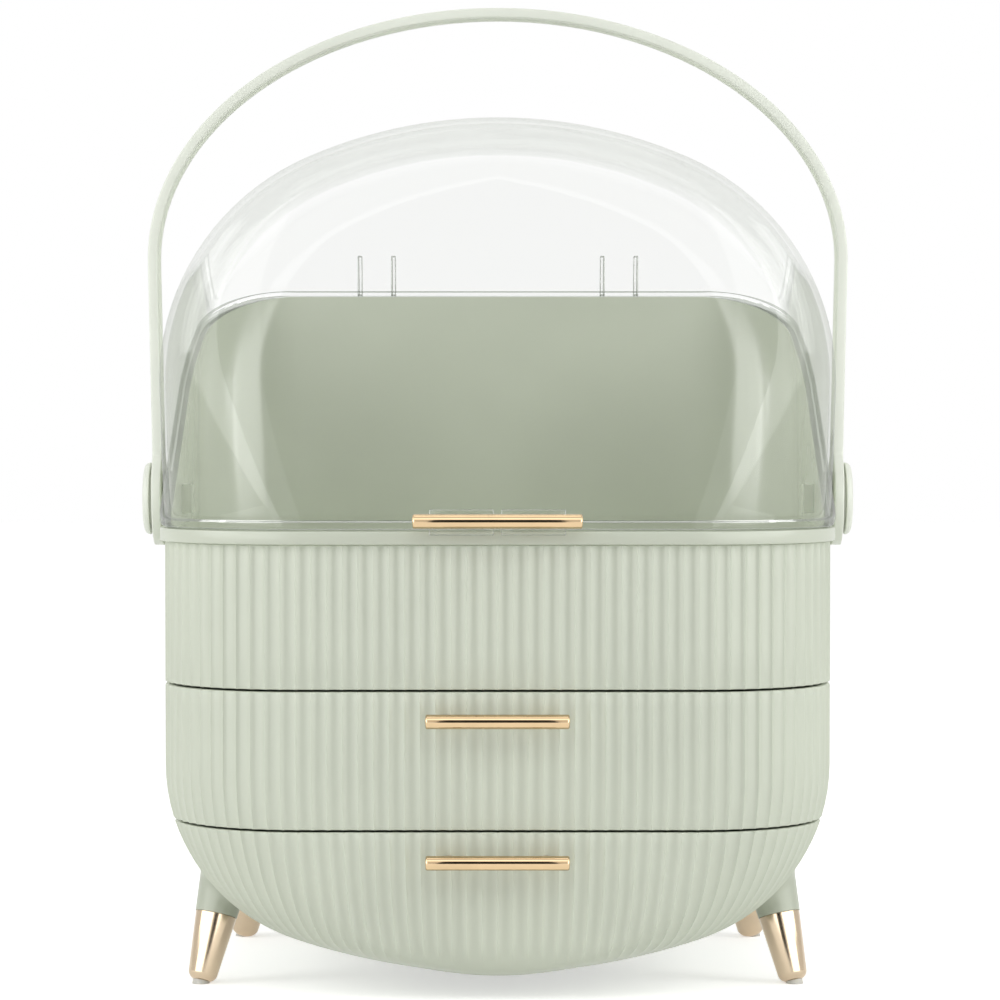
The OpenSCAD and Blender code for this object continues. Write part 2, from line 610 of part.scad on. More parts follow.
// A round bar with eased ends, along X
module pull_bar(z, length) {
    ease = 0.8;
    r = bar_d / 2;
    translate([-length / 2, -half_d - bar_stand, z]) rotate([0, 90, 0]) rotate_extrude($fn = 64)
        polygon([[0, 0], [r - ease, 0], [r, ease], [r, length - ease], [r - ease, length], [0, length]]);
}
module drawer_bar(z) {
    color(gold) difference() {
        union() {
            pull_bar(z, drawer_bar_len);
            at_posts(z) translate([0, -half_d, 0]) rotate([90, 0, 0]) cylinder(r = post_r, h = bar_stand, $fn = 40);
        }
        at_posts(z) translate([0, -half_d + 1, 0]) rotate([90, 0, 0])
            cylinder(r = screw_r + pin_play, h = bar_stand - bar_d / 2 + 1, $fn = 32);
    }
}
module upper_drawer_bar() drawer_bar(upper_bar_z);
module lower_drawer_bar() drawer_bar(lower_bar_z);

module drawer_screws(z) {
    head_r = 3;
    head_h = 1.6;
    inside_y = -half_d + tray_k + tray_wall;
    shank = inside_y + half_d + bar_stand - bar_d / 2 - 1;
    color(steel) at_posts(z) {
        translate([0, inside_y, 0]) rotate([90, 0, 0]) cylinder(r = screw_r, h = shank, $fn = 32);
        translate([0, inside_y + head_h, 0]) rotate([90, 0, 0]) cylinder(r = head_r, h = head_h, $fn = 32);
    }
}
module upper_drawer_screws() drawer_screws(upper_bar_z);
module lower_drawer_screws() drawer_screws(lower_bar_z);

lid_bar_z = ring_top + lid_bar_rise;
module lid_bar() {
    color(gold) pull_bar(lid_bar_z, lid_bar_len);
}
module lid_bar_mount() {
    y1 = -half_d - lip_out - seat_gap / 3;
    y0 = -half_d - bar_stand + block_wrap;
    color(clear) difference() {
        for (side = [-1, 1])
            translate([side > 0 ? block_gap / 2 : -block_gap / 2 - block_len, y0, lid_bar_z - block_h * 0.55])
                cube([block_len, y1 - y0, block_h]);
        x_bar(0, -half_d - bar_stand, lid_bar_z, bar_d / 2 + pin_play, lid_bar_len);
    }
}

// ---- Carry handle ----
arc_c = handle_top_z - handle_arc_h;
function arch_side(inset) = concat([[handle_low_w - inset, pivot_z]],
    [for (i = [0:24]) let (a = 90 * i / 24) [(handle_half_w - inset) * cos(a), arc_c + (handle_arc_h - inset) * sin(a)]]);
function mirror_x(p) = [for (i = [len(p) - 2:-1:0]) [-p[i][0], p[i][1]]];
function arch_line(inset) = let (p = arch_side(inset)) concat(p, mirror_x(p));
module arch_band(inset0, inset1, width) {
    inner = arch_line(inset1);
    translate([0, width / 2, 0]) rotate([90, 0, 0]) linear_extrude(width)
        polygon(concat(arch_line(inset0), [for (i = [len(inner) - 1:-1:0]) inner[i]]));
}
module carry_handle() {
    groove = 1;
    border = 3;
    color(sage) difference() {
        union() {
            difference() {
                arch_band(0, handle_t, handle_band);
                arch_band(handle_t - groove, handle_t + 1, handle_band - 2 * border);
            }
            for (side = [-1, 1]) side_bar(side, handle_low_w - handle_t, handle_low_w, handle_end_r);
        }
        for (side = [-1, 1]) side_bar(side, handle_low_w - 2 * handle_t, handle_low_w + 1, pivot_r + pin_play);
    }
}

shaft_in = half_w - dome_wall - clip_out + 1.2;
module pivot_cap(side) {
    face = cap_gap + cap_t;
    color(sage) mirror([side > 0 ? 0 : 1, 0, 0]) translate([handle_low_w, 0, pivot_z]) rotate([0, 90, 0])
        rotate_extrude($fn = 72) polygon(concat([[0, shaft_in - handle_low_w], [pivot_r, shaft_in - handle_low_w],
            [pivot_r, seat_gap], [neck_r, seat_gap], [neck_r, cap_gap], [cap_r, cap_gap]],
            [for (i = [0:5]) let (a = 90 * i / 5)
                [cap_r - cap_round * (1 - cos(a)), face - cap_round * (1 - sin(a))]],
            [[0, face]]));
}
module pivot_clip(side) {
    x0 = half_w - dome_wall - clip_out;
    color(sage) mirror([side > 0 ? 0 : 1, 0, 0]) difference() {
        translate([x0, -clip_size / 2, pivot_z - clip_size / 2]) cube([clip_out - 0.1, clip_size, clip_size]);
        side_bar(1, shaft_in - 0.2, half_w, pivot_r + pin_play);
    }
}
module pivot_cap_left() pivot_cap(-1);
module pivot_cap_right() pivot_cap(1);
module pivot_clip_left() pivot_clip(-1);
module pivot_clip_right() pivot_clip(1);

// ---- Legs: end is -1 at the front and 1 at the back ----
module at_foot(side, end) {
    x = end < 0 ? front_foot_x : rear_foot_x;
    y = -half_d + (end < 0 ? front_foot_depth : rear_foot_depth);
    mirror([side > 0 ? 0 : 1, 0, 0]) translate([x, y, 0]) rotate([end * leg_rake, -leg_lean, 0]) children();
}
tip_low = 1.5;
tip_round = 4;
tip_slope = (tip_top_r - tip_end_r) / (tip_h - tip_low);
leg_len = 72;
module leg(side, end) {
    color(sage) difference() {
        at_foot(side, end) translate([0, 0, tip_h]) cylinder(r1 = tip_top_r, r2 = tip_top_r + tip_slope * (leg_len - tip_h), h = leg_len - tip_h, $fn = 64);
        bowl_bar(-0.1, upper_seam_z, -half_d - 20, half_d + 20);
    }
}
module leg_tip(side, end) {
    color(gold) difference() {
        at_foot(side, end) rotate_extrude($fn = 64) polygon(concat(
            [[0, tip_low]],
            [for (i = [0:5]) let (a = 80 * i / 5)
                [tip_end_r - tip_round + tip_round * sin(a), tip_low + tip_round - tip_round * cos(a)]],
            [[tip_top_r, tip_h], [0, tip_h]]));
        at_foot(side, end) translate([0, 0, -5]) cylinder(r = pad_r + 0.05, h = 8, $fn = 40);
    }
}
module foot_pad(side, end) {
    color(rubber) intersection() {
        at_foot(side, end) translate([0, 0, -5]) cylinder(r = pad_r, h = 7.9, $fn = 40);
        translate([-body_w, -body_w, 0]) cube([2 * body_w, 2 * body_w, tip_h]);
    }
}
module front_leg_left() leg(-1, -1);
module front_leg_right() leg(1, -1);
module rear_leg_left() leg(-1, 1);
module rear_leg_right() leg(1, 1);
module front_tip_left() leg_tip(-1, -1);
module front_tip_right() leg_tip(1, -1);
module rear_tip_left() leg_tip(-1, 1);
module rear_tip_right() leg_tip(1, 1);
module front_pad_left() foot_pad(-1, -1);
module front_pad_right() foot_pad(1, -1);
module rear_pad_left() foot_pad(-1, 1);
module rear_pad_right() foot_pad(1, 1);

tub();
rear_hood();
clear_lid();
lid_bar_mount();
lid_bar();
hinge_pins();
housing();
drawer_shelf();
upper_drawer_front();
upper_drawer_tray();
upper_drawer_bar();
upper_drawer_screws();
lower_drawer_front();
lower_drawer_tray();
lower_drawer_bar();
lower_drawer_screws();
carry_handle();
pivot_cap_left();
pivot_cap_right();
pivot_clip_left();
pivot_clip_right();
front_leg_left();
front_leg_right();
rear_leg_left();
rear_leg_right();
front_tip_left();
front_tip_right();
rear_tip_left();
rear_tip_right();
front_pad_left();
front_pad_right();
rear_pad_left();
rear_pad_right();
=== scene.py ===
# %% [markdown]
# # A dustproof makeup organizer
# The object is a fluted bowl of sage green plastic on four splayed legs with gold tips. Two
# drawers fill its front, an open tub sits above them, and a clear dome closes the tub at the
# front and top while a green hood closes it at the back. A carry handle arches over everything.
#
# The CAD model already gives every piece its place and size. This lesson builds finer skins over
# it: rounded flutes, eased edges, smooth domes, and a finish for each plastic and metal.

# %% Load the frame
import math
from functools import partial

import bmesh
import bpy
from mathutils import Matrix, Vector


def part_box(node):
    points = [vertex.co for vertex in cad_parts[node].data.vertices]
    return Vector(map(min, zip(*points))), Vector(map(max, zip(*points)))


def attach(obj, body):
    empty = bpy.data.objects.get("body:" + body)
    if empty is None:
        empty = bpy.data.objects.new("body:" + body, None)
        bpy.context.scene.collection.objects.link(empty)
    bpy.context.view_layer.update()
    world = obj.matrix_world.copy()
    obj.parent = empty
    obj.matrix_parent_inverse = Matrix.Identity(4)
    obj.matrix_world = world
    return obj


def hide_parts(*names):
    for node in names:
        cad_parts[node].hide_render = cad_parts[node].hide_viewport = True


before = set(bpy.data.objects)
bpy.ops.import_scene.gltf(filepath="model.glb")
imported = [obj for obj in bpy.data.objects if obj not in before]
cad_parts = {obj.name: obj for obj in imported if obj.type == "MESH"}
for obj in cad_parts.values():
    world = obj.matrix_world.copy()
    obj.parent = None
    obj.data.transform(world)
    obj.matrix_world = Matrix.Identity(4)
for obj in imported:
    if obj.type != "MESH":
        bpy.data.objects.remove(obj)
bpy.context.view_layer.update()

# %% [markdown]
# ## Working sizes
# The driving sizes of the product, in millimetres. Where a CAD node shows a size directly, it is
# read from the node's box, so that a piece always meets the frame it dresses.

# %% Sizes of the body
MM = 0.001


def node_box(name):
    """Lowest and highest corner of a CAD node, in millimetres."""
    low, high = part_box(name)
    return Vector(low) / MM, Vector(high) / MM


tub_low, tub_high = node_box("tub")
half_width = tub_high.x
half_depth = tub_high.y
front_joint_depth = 56
seam_gap = 0.9
wall = 3
front_corner = 58
rear_corner = 38
belly_bottom = 9.3
belly_radius = 300
side_radius = 75
under_rounding = 15
edge_ease = 0.6
side_centre_x = half_width - side_radius
belly_centre_z = belly_bottom + belly_radius
side_centre_z = belly_centre_z - math.sqrt((belly_radius - side_radius) ** 2 - side_centre_x**2)
belly_angle = math.asin(side_centre_x / (belly_radius - side_radius))
print("half width and depth:", round(half_width, 2), round(half_depth, 2))
print("the bowl's side becomes upright at height", round(side_centre_z, 2))

# %% [markdown]
# ## The bowl's outline
# Seen from the front the bowl is a shallow arc that runs into a tighter side curve and then an
# upright side. A point on it is found by its distance along that line, which spreads the rows
# of a mesh evenly where the surface lies almost flat as well as where it stands upright.


# %% Points along the outline
def outline_point(t, inset=0):
    """Half width and height at distance t along the outline from the lowest point."""
    arc = (belly_radius - inset) * belly_angle
    side = (side_radius - inset) * (math.pi / 2 - belly_angle)
    if t < arc:
        a = t / (belly_radius - inset)
        return ((belly_radius - inset) * math.sin(a),
                belly_centre_z - (belly_radius - inset) * math.cos(a))
    if t < arc + side:
        a = belly_angle + (t - arc) / (side_radius - inset)
        return (side_centre_x + (side_radius - inset) * math.sin(a),
                side_centre_z - (side_radius - inset) * math.cos(a))
    return half_width - inset, side_centre_z + t - arc - side


def halved(low, high, steps, still_short):
    """Narrows an interval, half by half, to the place where still_short turns false."""
    for _ in range(steps):
        middle = (low + high) / 2
        if still_short(middle):
            low = middle
        else:
            high = middle
    return low


def outline_distance(z, inset=0):
    """Distance along the outline at which it reaches height z."""
    return halved(0.0, 400.0, 40, lambda t: outline_point(t, inset)[1] < z)


print("outline length up to the side:", round(outline_distance(side_centre_z), 1))

# %% [markdown]
# ## Sections of the body
# A level section of the body is a rounded rectangle. Towards the bottom it gets narrower, its
# corners tighten and its front draws in, as a moulded bowl does. A point is found by its
# distance from the middle of the face, with the direction in which the skin looks.


# %% Points along a section
corner_tightening = 0.25
widest_corner = 0.8


def run_in(z, inset=0):
    """How far the face has drawn in at height z, where it rounds under the bowl."""
    up = z - belly_bottom - inset
    r = under_rounding - inset
    return 0 if up >= r else r - math.sqrt(max(0, r * r - (r - up) ** 2))


def corner_radius(width, full_width, corner, inset=0):
    """Radius of a section's corner: smaller where the bowl is narrower."""
    tight = max(under_rounding / 2, corner - corner_tightening * (half_width - full_width)) - inset
    return max(0.0, min(widest_corner * width, tight))


def section(t, corner, depth, inset=0):
    """Width, height, corner radius, face draw-in and length of half a section."""
    width, z = outline_point(t, inset)
    full = outline_point(outline_distance(z))[0] if inset else width
    r = corner_radius(width, full, corner, inset)
    drawn = run_in(z, inset)
    run = depth - inset - drawn
    flat = width - r
    if r == 0:
        length = flat + run
    elif run >= r:
        length = flat + r * math.pi / 2 + run - r
    else:
        length = flat + r * math.acos(1 - run / r)
    return width, z, r, drawn, length


def section_point(part, s, inset=0, out=0.0):
    """Point at distance s (either sign) along a section, moved outwards by out."""
    width, z, r, drawn, _ = part
    q = abs(s)
    flat = width - r
    a = min(math.pi / 2, max(0.0, (q - flat) / r)) if r > 0 else (math.pi / 2 if q > flat else 0.0)
    beyond = max(0.0, q - flat - r * math.pi / 2)
    side = -1 if s < 0 else 1
    x = min(q, flat) + (r + out) * math.sin(a)
    y = -half_depth + inset + drawn + r - (r + out) * math.cos(a) + beyond
    return Vector((side * x, y, z))


full_front = section(outline_distance(side_centre_z), front_corner, front_joint_depth)
print("half of the front's section at full width:", round(full_front[4], 1))

# %% [markdown]
# ## Flutes
# The flutes are wide, shallow, hollow valleys between narrow crests, like a fluted column. Each
# is a round hollow whose two sides meet the next ones in a crest that the mould leaves slightly
# soft. They fade out where the bowl turns under. The columns of the mesh stand closer together at
# the crests, where the surface turns quickly, than in the valleys.

# %% The shape of one flute
flute_depth = 1.0
crest_softness = 0.09
flute_start_height = 5
flute_fade = 8
most_stretch = 1.8
flute_columns = [0, 0.03, 0.08, 0.18, 0.33, 0.5, 0.67, 0.82, 0.92, 0.97]
per_flute = len(flute_columns)


def hollow(phase):
    """Depth of the skin below the crests, 0..1, at a phase of 0..1 across a flute."""
    raw = 1 - abs(2 * phase - 1) ** 3
    soft = math.sqrt(raw * raw + crest_softness**2) - crest_softness
    return soft / (math.sqrt(1 + crest_softness**2) - crest_softness)


def flute_share(z):
    """Share of the full depth that the flutes have at height z."""
    return min(1.0, max(0.0, (z - belly_bottom - flute_start_height) / flute_fade))


def flute_place(u, length, full):
    """Distance along a section at which the share u of its flutes has passed."""
    g = min(most_stretch, full / length)
    return length * (g * u + (1 - g) * u * u)


def eased(distance, r=edge_ease):
    """Inset of a rounded edge at a distance from it."""
    return 0.0 if distance >= r else r - math.sqrt(max(0.0, r * r - (r - distance) ** 2))


print("depth across a flute:", [round(flute_depth * hollow(p), 2) for p in flute_columns])

# %% [markdown]
# ## One helper for all moulded walls
# Each moulded wall starts as a flat grid with a column and a row number on every vertex. The
# grid is bent into the outer skin, its doubles are merged so that seams close, and the whole
# sheet is extruded once: the copy becomes the inner skin and the strip between them the rim.
# Only grid, merge, extrude and vertex moves are needed, and the result is a closed solid.


# %% Sheet helper
sharp_angle = math.radians(38)
weld = 0.001


def new_object(name, bm, body, material, edge_material=None, on_edge=None):
    """Makes a smooth shaded object of a bmesh and lets it ride on a CAD body. The faces for
    which on_edge is true take the edge material."""
    for face in bm.faces:
        face.smooth = True
        face.material_index = 1 if on_edge and on_edge(face) else 0
    for edge in bm.edges:
        if len(edge.link_faces) == 2 and edge.calc_face_angle(0) > sharp_angle:
            edge.smooth = False
    mesh = bpy.data.meshes.new(name)
    bm.to_mesh(mesh)
    bm.free()
    mesh.materials.append(material)
    if edge_material:
        mesh.materials.append(edge_material)
    piece = bpy.data.objects.new(name, mesh)
    bpy.context.collection.objects.link(piece)
    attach(piece, body)
    print(name, "faces:", len(mesh.polygons))
    return piece


def moulded(columns, rows, outer, inner=None):
    """Bends a grid of columns and rows into outer(i, j) and, extruded, inner(i, j), in mm."""
    bm = bmesh.new()
    bmesh.ops.create_grid(bm, x_segments=columns, y_segments=rows, size=1)
    column = bm.verts.layers.int.new("column")
    row = bm.verts.layers.int.new("row")
    skin = bm.verts.layers.int.new("skin")
    for v in bm.verts:
        v[column] = round((v.co.x + 1) / 2 * columns)
        v[row] = round((v.co.y + 1) / 2 * rows)
    for v in bm.verts:
        v.co = outer(v[column], v[row])
    bmesh.ops.remove_doubles(bm, verts=bm.verts[:], dist=weld)
    if inner:
        made = bmesh.ops.extrude_face_region(bm, geom=bm.faces[:], use_keep_orig=True)
        for v in [g for g in made["geom"] if isinstance(g, bmesh.types.BMVert)]:
            v.co = inner(v[column], v[row])
            v[skin] = 1
        bmesh.ops.remove_doubles(bm, verts=bm.verts[:], dist=weld)
    bmesh.ops.recalc_face_normals(bm, faces=bm.faces[:])
    bmesh.ops.scale(bm, vec=(MM, MM, MM), verts=bm.verts[:])
    loose = sum(1 for e in bm.edges if not e.is_manifold)
    if loose:
        print("  open edges:", loose)
    return bm


def spaced(low, high, count, ease=edge_ease):
    """Row places from low to high, with extra rows for the rounded edge at each end."""
    near = [0.0, 0.1, 0.3, 0.6, 1.0]
    inside = [low + ease + (high - low - 2 * ease) * k / count for k in range(1, count)]
    return [low + ease * n for n in near] + inside + [high - ease * n for n in reversed(near)]


print("row places for a 10 mm wall:", [round(z, 2) for z in spaced(0, 10, 3)])

# %% [markdown]
# ## Materials
# Real moulded plastic and plated metal are never one flat colour. Each finish here is a node
# tree of the same few parts: a noise on Object coordinates, which stays with the piece in every
# view, a colour that drifts a little with it, a roughness that does the same, and sometimes a
# bump. An image texture could do it too, but would need a layout of every surface.


# %% Material helpers
def shader(name):
    material = bpy.data.materials.new(name)
    material.use_nodes = True
    tree = material.node_tree
    return material, tree, tree.nodes["Principled BSDF"]


def object_noise(tree, scale, detail=2.0):
    """A noise that stays with the piece, from Object coordinates."""
    place = tree.nodes.new("ShaderNodeTexCoord")
    noise = tree.nodes.new("ShaderNodeTexNoise")
    noise.inputs["Scale"].default_value = scale
    noise.inputs["Detail"].default_value = detail
    tree.links.new(place.outputs["Object"], noise.inputs["Vector"])
    return noise


def drift(tree, base, noise, low, high, socket):
    """Drives a colour socket between low and high shares of a base colour. A noise stays
    mostly between 0.3 and 0.7, so the ramp spans only that middle."""
    ramp = tree.nodes.new("ShaderNodeValToRGB")
    ramp.color_ramp.elements[0].color = [c * low for c in base[:3]] + [1]
    ramp.color_ramp.elements[1].color = [min(1, c * high) for c in base[:3]] + [1]
    ramp.color_ramp.elements[0].position = 0.35
    ramp.color_ramp.elements[1].position = 0.65
    tree.links.new(noise.outputs["Fac"], ramp.inputs["Fac"])
    tree.links.new(ramp.outputs["Color"], socket)


def rough_range(tree, noise, low, high, socket):
    """Drives roughness between low and high."""
    spread = tree.nodes.new("ShaderNodeMapRange")
    spread.inputs["From Min"].default_value = 0.3
    spread.inputs["From Max"].default_value = 0.7
    spread.inputs["To Min"].default_value = low
    spread.inputs["To Max"].default_value = high
    tree.links.new(noise.outputs["Fac"], spread.inputs["Value"])
    tree.links.new(spread.outputs["Result"], socket)


def reckoned(tree, operation, *values):
    """Output of a Math node; each value is a number or another node's output."""
    node = tree.nodes.new("ShaderNodeMath")
    node.operation = operation
    for socket, value in zip(node.inputs, values):
        if isinstance(value, (int, float)):
            socket.default_value = value
        else:
            tree.links.new(value, socket)
    return node.outputs[0]


def mixed(tree, share, first, second, end):
    """Mixes two shader nodes by a share into the surface of the end node."""
    mix = tree.nodes.new("ShaderNodeMixShader")
    tree.links.new(share, mix.inputs["Fac"])
    tree.links.new(first.outputs[0], mix.inputs[1])
    tree.links.new(second.outputs[0], mix.inputs[2])
    tree.links.new(mix.outputs["Shader"], tree.nodes[end].inputs["Surface"])


def bump_from(tree, noise, strength, distance, bsdf):
    """Lets a noise raise the surface by a distance in metres."""
    bump = tree.nodes.new("ShaderNodeBump")
    bump.inputs["Strength"].default_value = strength
    bump.inputs["Distance"].default_value = distance
    tree.links.new(noise.outputs["Fac"], bump.inputs["Height"])
    tree.links.new(bump.outputs["Normal"], bsdf.inputs["Normal"])


print("material helpers ready")

# %% [markdown]
# ## Sage plastic
# The body is satin ABS, coloured right through. Its pigment drifts over some centimetres, and
# the mould leaves an orange peel of two or three millimetres that only shows in reflections.
# The pieces come from different moulds: the hood is polished and gets a weak coat over its
# satin, and handle and caps are a lighter batch. The leg stubs and the drawer shelf take a darker
# sage, which is painted shade for their places under the belly and inside the body. One function
# makes all.


# %% Sage plastics
pigment_scale = 14
peel_scale = 420
peel_height = 0.0004


def satin_plastic(name, colour, low_rough, high_rough, peel_strength=0.06, coat=0.0):
    material, tree, bsdf = shader(name)
    pigment = object_noise(tree, pigment_scale, 3)
    peel = object_noise(tree, peel_scale, 2)
    drift(tree, colour, pigment, 0.975, 1.025, bsdf.inputs["Base Color"])
    rough_range(tree, pigment, low_rough, high_rough, bsdf.inputs["Roughness"])
    bump_from(tree, peel, peel_strength, peel_height, bsdf)
    bsdf.inputs["IOR"].default_value = 1.5
    bsdf.inputs["Coat Weight"].default_value = coat
    bsdf.inputs["Coat Roughness"].default_value = 0.12
    return material


sage = satin_plastic("sage plastic", (0.60, 0.64, 0.53), 0.3, 0.36)
sage_light = satin_plastic("light sage plastic", (0.79, 0.823, 0.73), 0.34, 0.42, 0.03)
sage_gloss = satin_plastic("glossy sage plastic", (0.64, 0.68, 0.57), 0.2, 0.26, 0.03, 0.6)
# painted shade: a darker copy of the sage for the leg stubs, for the shade under the belly
stub_sage_painted_shade = satin_plastic("sage plastic with painted shade", (0.5, 0.535, 0.435), 0.32, 0.4)
# painted shade: a darker copy of the sage for the drawer shelf, for the shade inside the body
inside_sage_painted_shade = satin_plastic("sage plastic inside with painted shade", (0.50, 0.54, 0.44), 0.42, 0.5)
tray_plastic = satin_plastic("tray plastic", (0.58, 0.62, 0.52), 0.4, 0.5)
print("plastics made")


# %% [markdown]
# ## Clear styrene
# The lid is a thin clear wall. Glass would bend what is behind it and throw a shadow that the
# real thing hardly throws, so sight and lamps go straight through a Transparent shader. It
# greys where the wall is seen edge on, and a Glossy shader takes over there, by Layer Weight.
# The narrow edges of the lip and the ribs get a deeper grey: painted shade standing in for the
# light bent and caught in the wall.


# %% Clear styrene
edge_start = 0.87
mirror_power = 6
mirror_share = 0.5


def clear_plastic(name, colour, edge_colour, rough, least_mirror=0.02):
    """A thin clear wall that turns from colour to edge_colour and mirrors at a low angle."""
    material, tree, bsdf = shader(name)
    tree.nodes.remove(bsdf)
    slope = tree.nodes.new("ShaderNodeLayerWeight")
    slope.inputs["Blend"].default_value = 0.5
    tint = tree.nodes.new("ShaderNodeValToRGB")
    tint.color_ramp.elements[0].color = list(colour) + [1]
    tint.color_ramp.elements[1].color = list(edge_colour) + [1]
    tint.color_ramp.elements[0].position = edge_start
    see = tree.nodes.new("ShaderNodeBsdfTransparent")
    gloss = tree.nodes.new("ShaderNodeBsdfGlossy")
    haze = object_noise(tree, 30, 2)
    drift(tree, (0.98, 0.98, 0.98), haze, 0.98, 1.02, gloss.inputs["Color"])
    rough_range(tree, haze, rough, rough + 0.02, gloss.inputs["Roughness"])
    tree.links.new(slope.outputs["Facing"], tint.inputs["Fac"])
    tree.links.new(tint.outputs["Color"], see.inputs["Color"])
    steep = reckoned(tree, "POWER", slope.outputs["Facing"], mirror_power)
    share = reckoned(tree, "MULTIPLY_ADD", steep, mirror_share, least_mirror)
    mixed(tree, share, see, gloss, "Material Output")
    return material


clear = clear_plastic("clear styrene", (0.996, 0.998, 0.995), (0.66, 0.685, 0.64), 0.02)
# painted shade: a deeper grey for the narrow edges of lip, ribs and blocks, standing in for light
# bent in the wall
clear_edge_painted_shade = clear_plastic("clear styrene painted edge shade", (0.46, 0.49, 0.44), (0.36, 0.39, 0.34), 0.05, 0.25)
print("clear styrene made")

# %% [markdown]
# ## Metals and rubber
# Bars and leg tips are plated in champagne gold: a full metal whose roughness varies a little
# where it is handled. The bars are mirror bright, the tips slightly brushed. Hinge pins and
# screws are plain steel, and the foot pads a pale soft rubber that lets light in a little.


# %% Metals and rubber
def plated(name, colour, low_rough, high_rough):
    material, tree, bsdf = shader(name)
    bsdf.inputs["Metallic"].default_value = 1.0
    wear = object_noise(tree, 60, 3)
    drift(tree, colour, wear, 0.96, 1.03, bsdf.inputs["Base Color"])
    rough_range(tree, wear, low_rough, high_rough, bsdf.inputs["Roughness"])
    return material


gold_bar = plated("champagne bar", (0.63, 0.465, 0.28), 0.05, 0.08)
gold_tip = plated("champagne tip", (0.55, 0.445, 0.32), 0.12, 0.18)
steel = plated("steel pin", (0.62, 0.62, 0.62), 0.25, 0.32)
pad_rubber, pad_tree, pad_bsdf = shader("pale pad")
pad_noise = object_noise(pad_tree, 300, 2)
drift(pad_tree, (0.66, 0.65, 0.6), pad_noise, 0.93, 1.05, pad_bsdf.inputs["Base Color"])
pad_bsdf.inputs["Roughness"].default_value = 0.55
pad_bsdf.inputs["Subsurface Weight"].default_value = 0.2
pad_bsdf.inputs["Subsurface Radius"].default_value = (0.003, 0.003, 0.002)
print("metals and rubber made")

# %% [markdown]
# ## Housing and drawer fronts
# The bowl is made of a housing at the back and two drawer fronts that carry the flutes across
# the front and round its corners. All three are the same kind of wall, so one function bends
# them, given the seams at which the piece begins and ends. A wall that is closed below starts
# with one row at the lowest line of the bowl, where its two sides merge.


# %% A fluted wall
def fluted_wall(low_z, high_z, corner, depth, flutes, turn, rows, closed_below):
    """A wall with a number of flutes on each half; turn is -1 for one that faces the back."""
    columns = 2 * flutes * per_flute
    outside, inside = [], []
    start = 0.0 if closed_below else outline_distance(low_z)
    places = spaced(start, outline_distance(high_z), rows)
    if closed_below:
        places = places[5:]
        places.insert(0, 0.0)
    full = section(outline_distance(side_centre_z), corner, depth)[4]
    in_start = 0.0 if closed_below else outline_distance(low_z, wall)
    in_end = outline_distance(high_z, wall)
    for t in places:
        outside.append(section(t, corner, depth))
        share = (t - places[0]) / (places[-1] - places[0])
        inside.append(section(in_start + (in_end - in_start) * share, corner, depth, wall))

    def outer(i, j):
        k = i - columns // 2
        phase = flute_columns[abs(k) % per_flute]
        u = (abs(k) // per_flute + phase) / flutes
        part = outside[j]
        s = flute_place(u, part[4], full)
        edge = places[-1] - places[j]
        if not closed_below:
            edge = min(edge, places[j] - places[0])
        cut = flute_depth * flute_share(part[1]) * hollow(phase) + eased(edge) + eased(part[4] - s)
        p = section_point(part, s if k > 0 else -s, 0, -cut)
        return Vector((turn * p.x, turn * p.y, p.z))

    def inner(i, j):
        k = i - columns // 2
        part = inside[j]
        u = abs(k) / (columns // 2)
        p = section_point(part, part[4] * u * (1 if k > 0 else -1), wall)
        return Vector((turn * p.x, turn * p.y, p.z))

    return moulded(columns, len(places) - 1, outer, inner)


print("fluted wall helper ready")

# %% Housing
house_top = node_box("housing")[1].z
front_flutes = 27
rear_flutes = 47
belly_rows = 34
band_rows = 10
house_depth = 2 * half_depth - front_joint_depth - seam_gap
bm = fluted_wall(0, house_top, rear_corner, house_depth, rear_flutes, -1, belly_rows, True)
housing = new_object("fluted_housing", bm, "body", sage)
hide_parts("housing")

# %% [markdown]
# The drawer fronts are the housing's wall again, turned to the front: the upper one is a band
# between two seams, and the lower one runs down under the belly.

# %% Drawer fronts
for name, rows, closed in (("upper_drawer", band_rows, False),
                           ("lower_drawer", belly_rows, True)):
    low, high = node_box(name + "_front")
    bm = fluted_wall(low.z, high.z, front_corner, front_joint_depth, front_flutes, 1, rows, closed)
    front = new_object(name + "_fluted_front", bm, name, sage)
    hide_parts(name + "_front")

# %% [markdown]
# ## The tub
# The tub is the fluted band above the drawers: an open box with upright fluted walls, a flat
# floor and a smooth inside. Its grid runs once round the plan, and its rows run from the middle
# of the floor outwards and up the wall. The plan joins a front section and a rear section, so
# its flutes go on in line with those of the drawers and the housing.

# %% Plan of the body
upright = outline_distance(side_centre_z + 1)
front_section = section(upright, front_corner, front_joint_depth)
rear_section = section(upright, rear_corner, 2 * half_depth - front_joint_depth)
plan_columns = 2 * (front_flutes + rear_flutes) * per_flute


def plan_point(i, inset, flutes):
    """Point i of the closed plan line; it starts at the right-hand side joint."""
    front_count = 2 * front_flutes * per_flute
    i = i % plan_columns
    turn, part, count, corner = (1, front_section, front_flutes, front_corner)
    k = i - front_flutes * per_flute
    if i >= front_count:
        turn, part, count, corner = (-1, rear_section, rear_flutes, rear_corner)
        k = i - front_count - rear_flutes * per_flute
    phase = flute_columns[abs(k) % per_flute]
    u = (abs(k) // per_flute + phase) / count
    s = flute_place(u, part[4], part[4]) * (1 if k > 0 else -1)
    cut = inset + (flute_depth * hollow(phase) if flutes else 0)
    p = section_point(part, s, 0, -cut)
    return Vector((turn * p.x, turn * p.y, 0))


print("points round the plan:", plan_columns)

# %% Tub
tub_wall = 3.4
tub_floor = 2.4
floor_corner = 4
top_rows = spaced(tub_low.z, tub_high.z, 4)


def tub_outer(i, j):
    if j == 0:
        return Vector((0, 0, tub_low.z))
    z = top_rows[j - 1]
    edge = eased(min(z - tub_low.z, tub_high.z - z))
    p = plan_point(i, edge, True)
    return Vector((p.x, p.y, z))


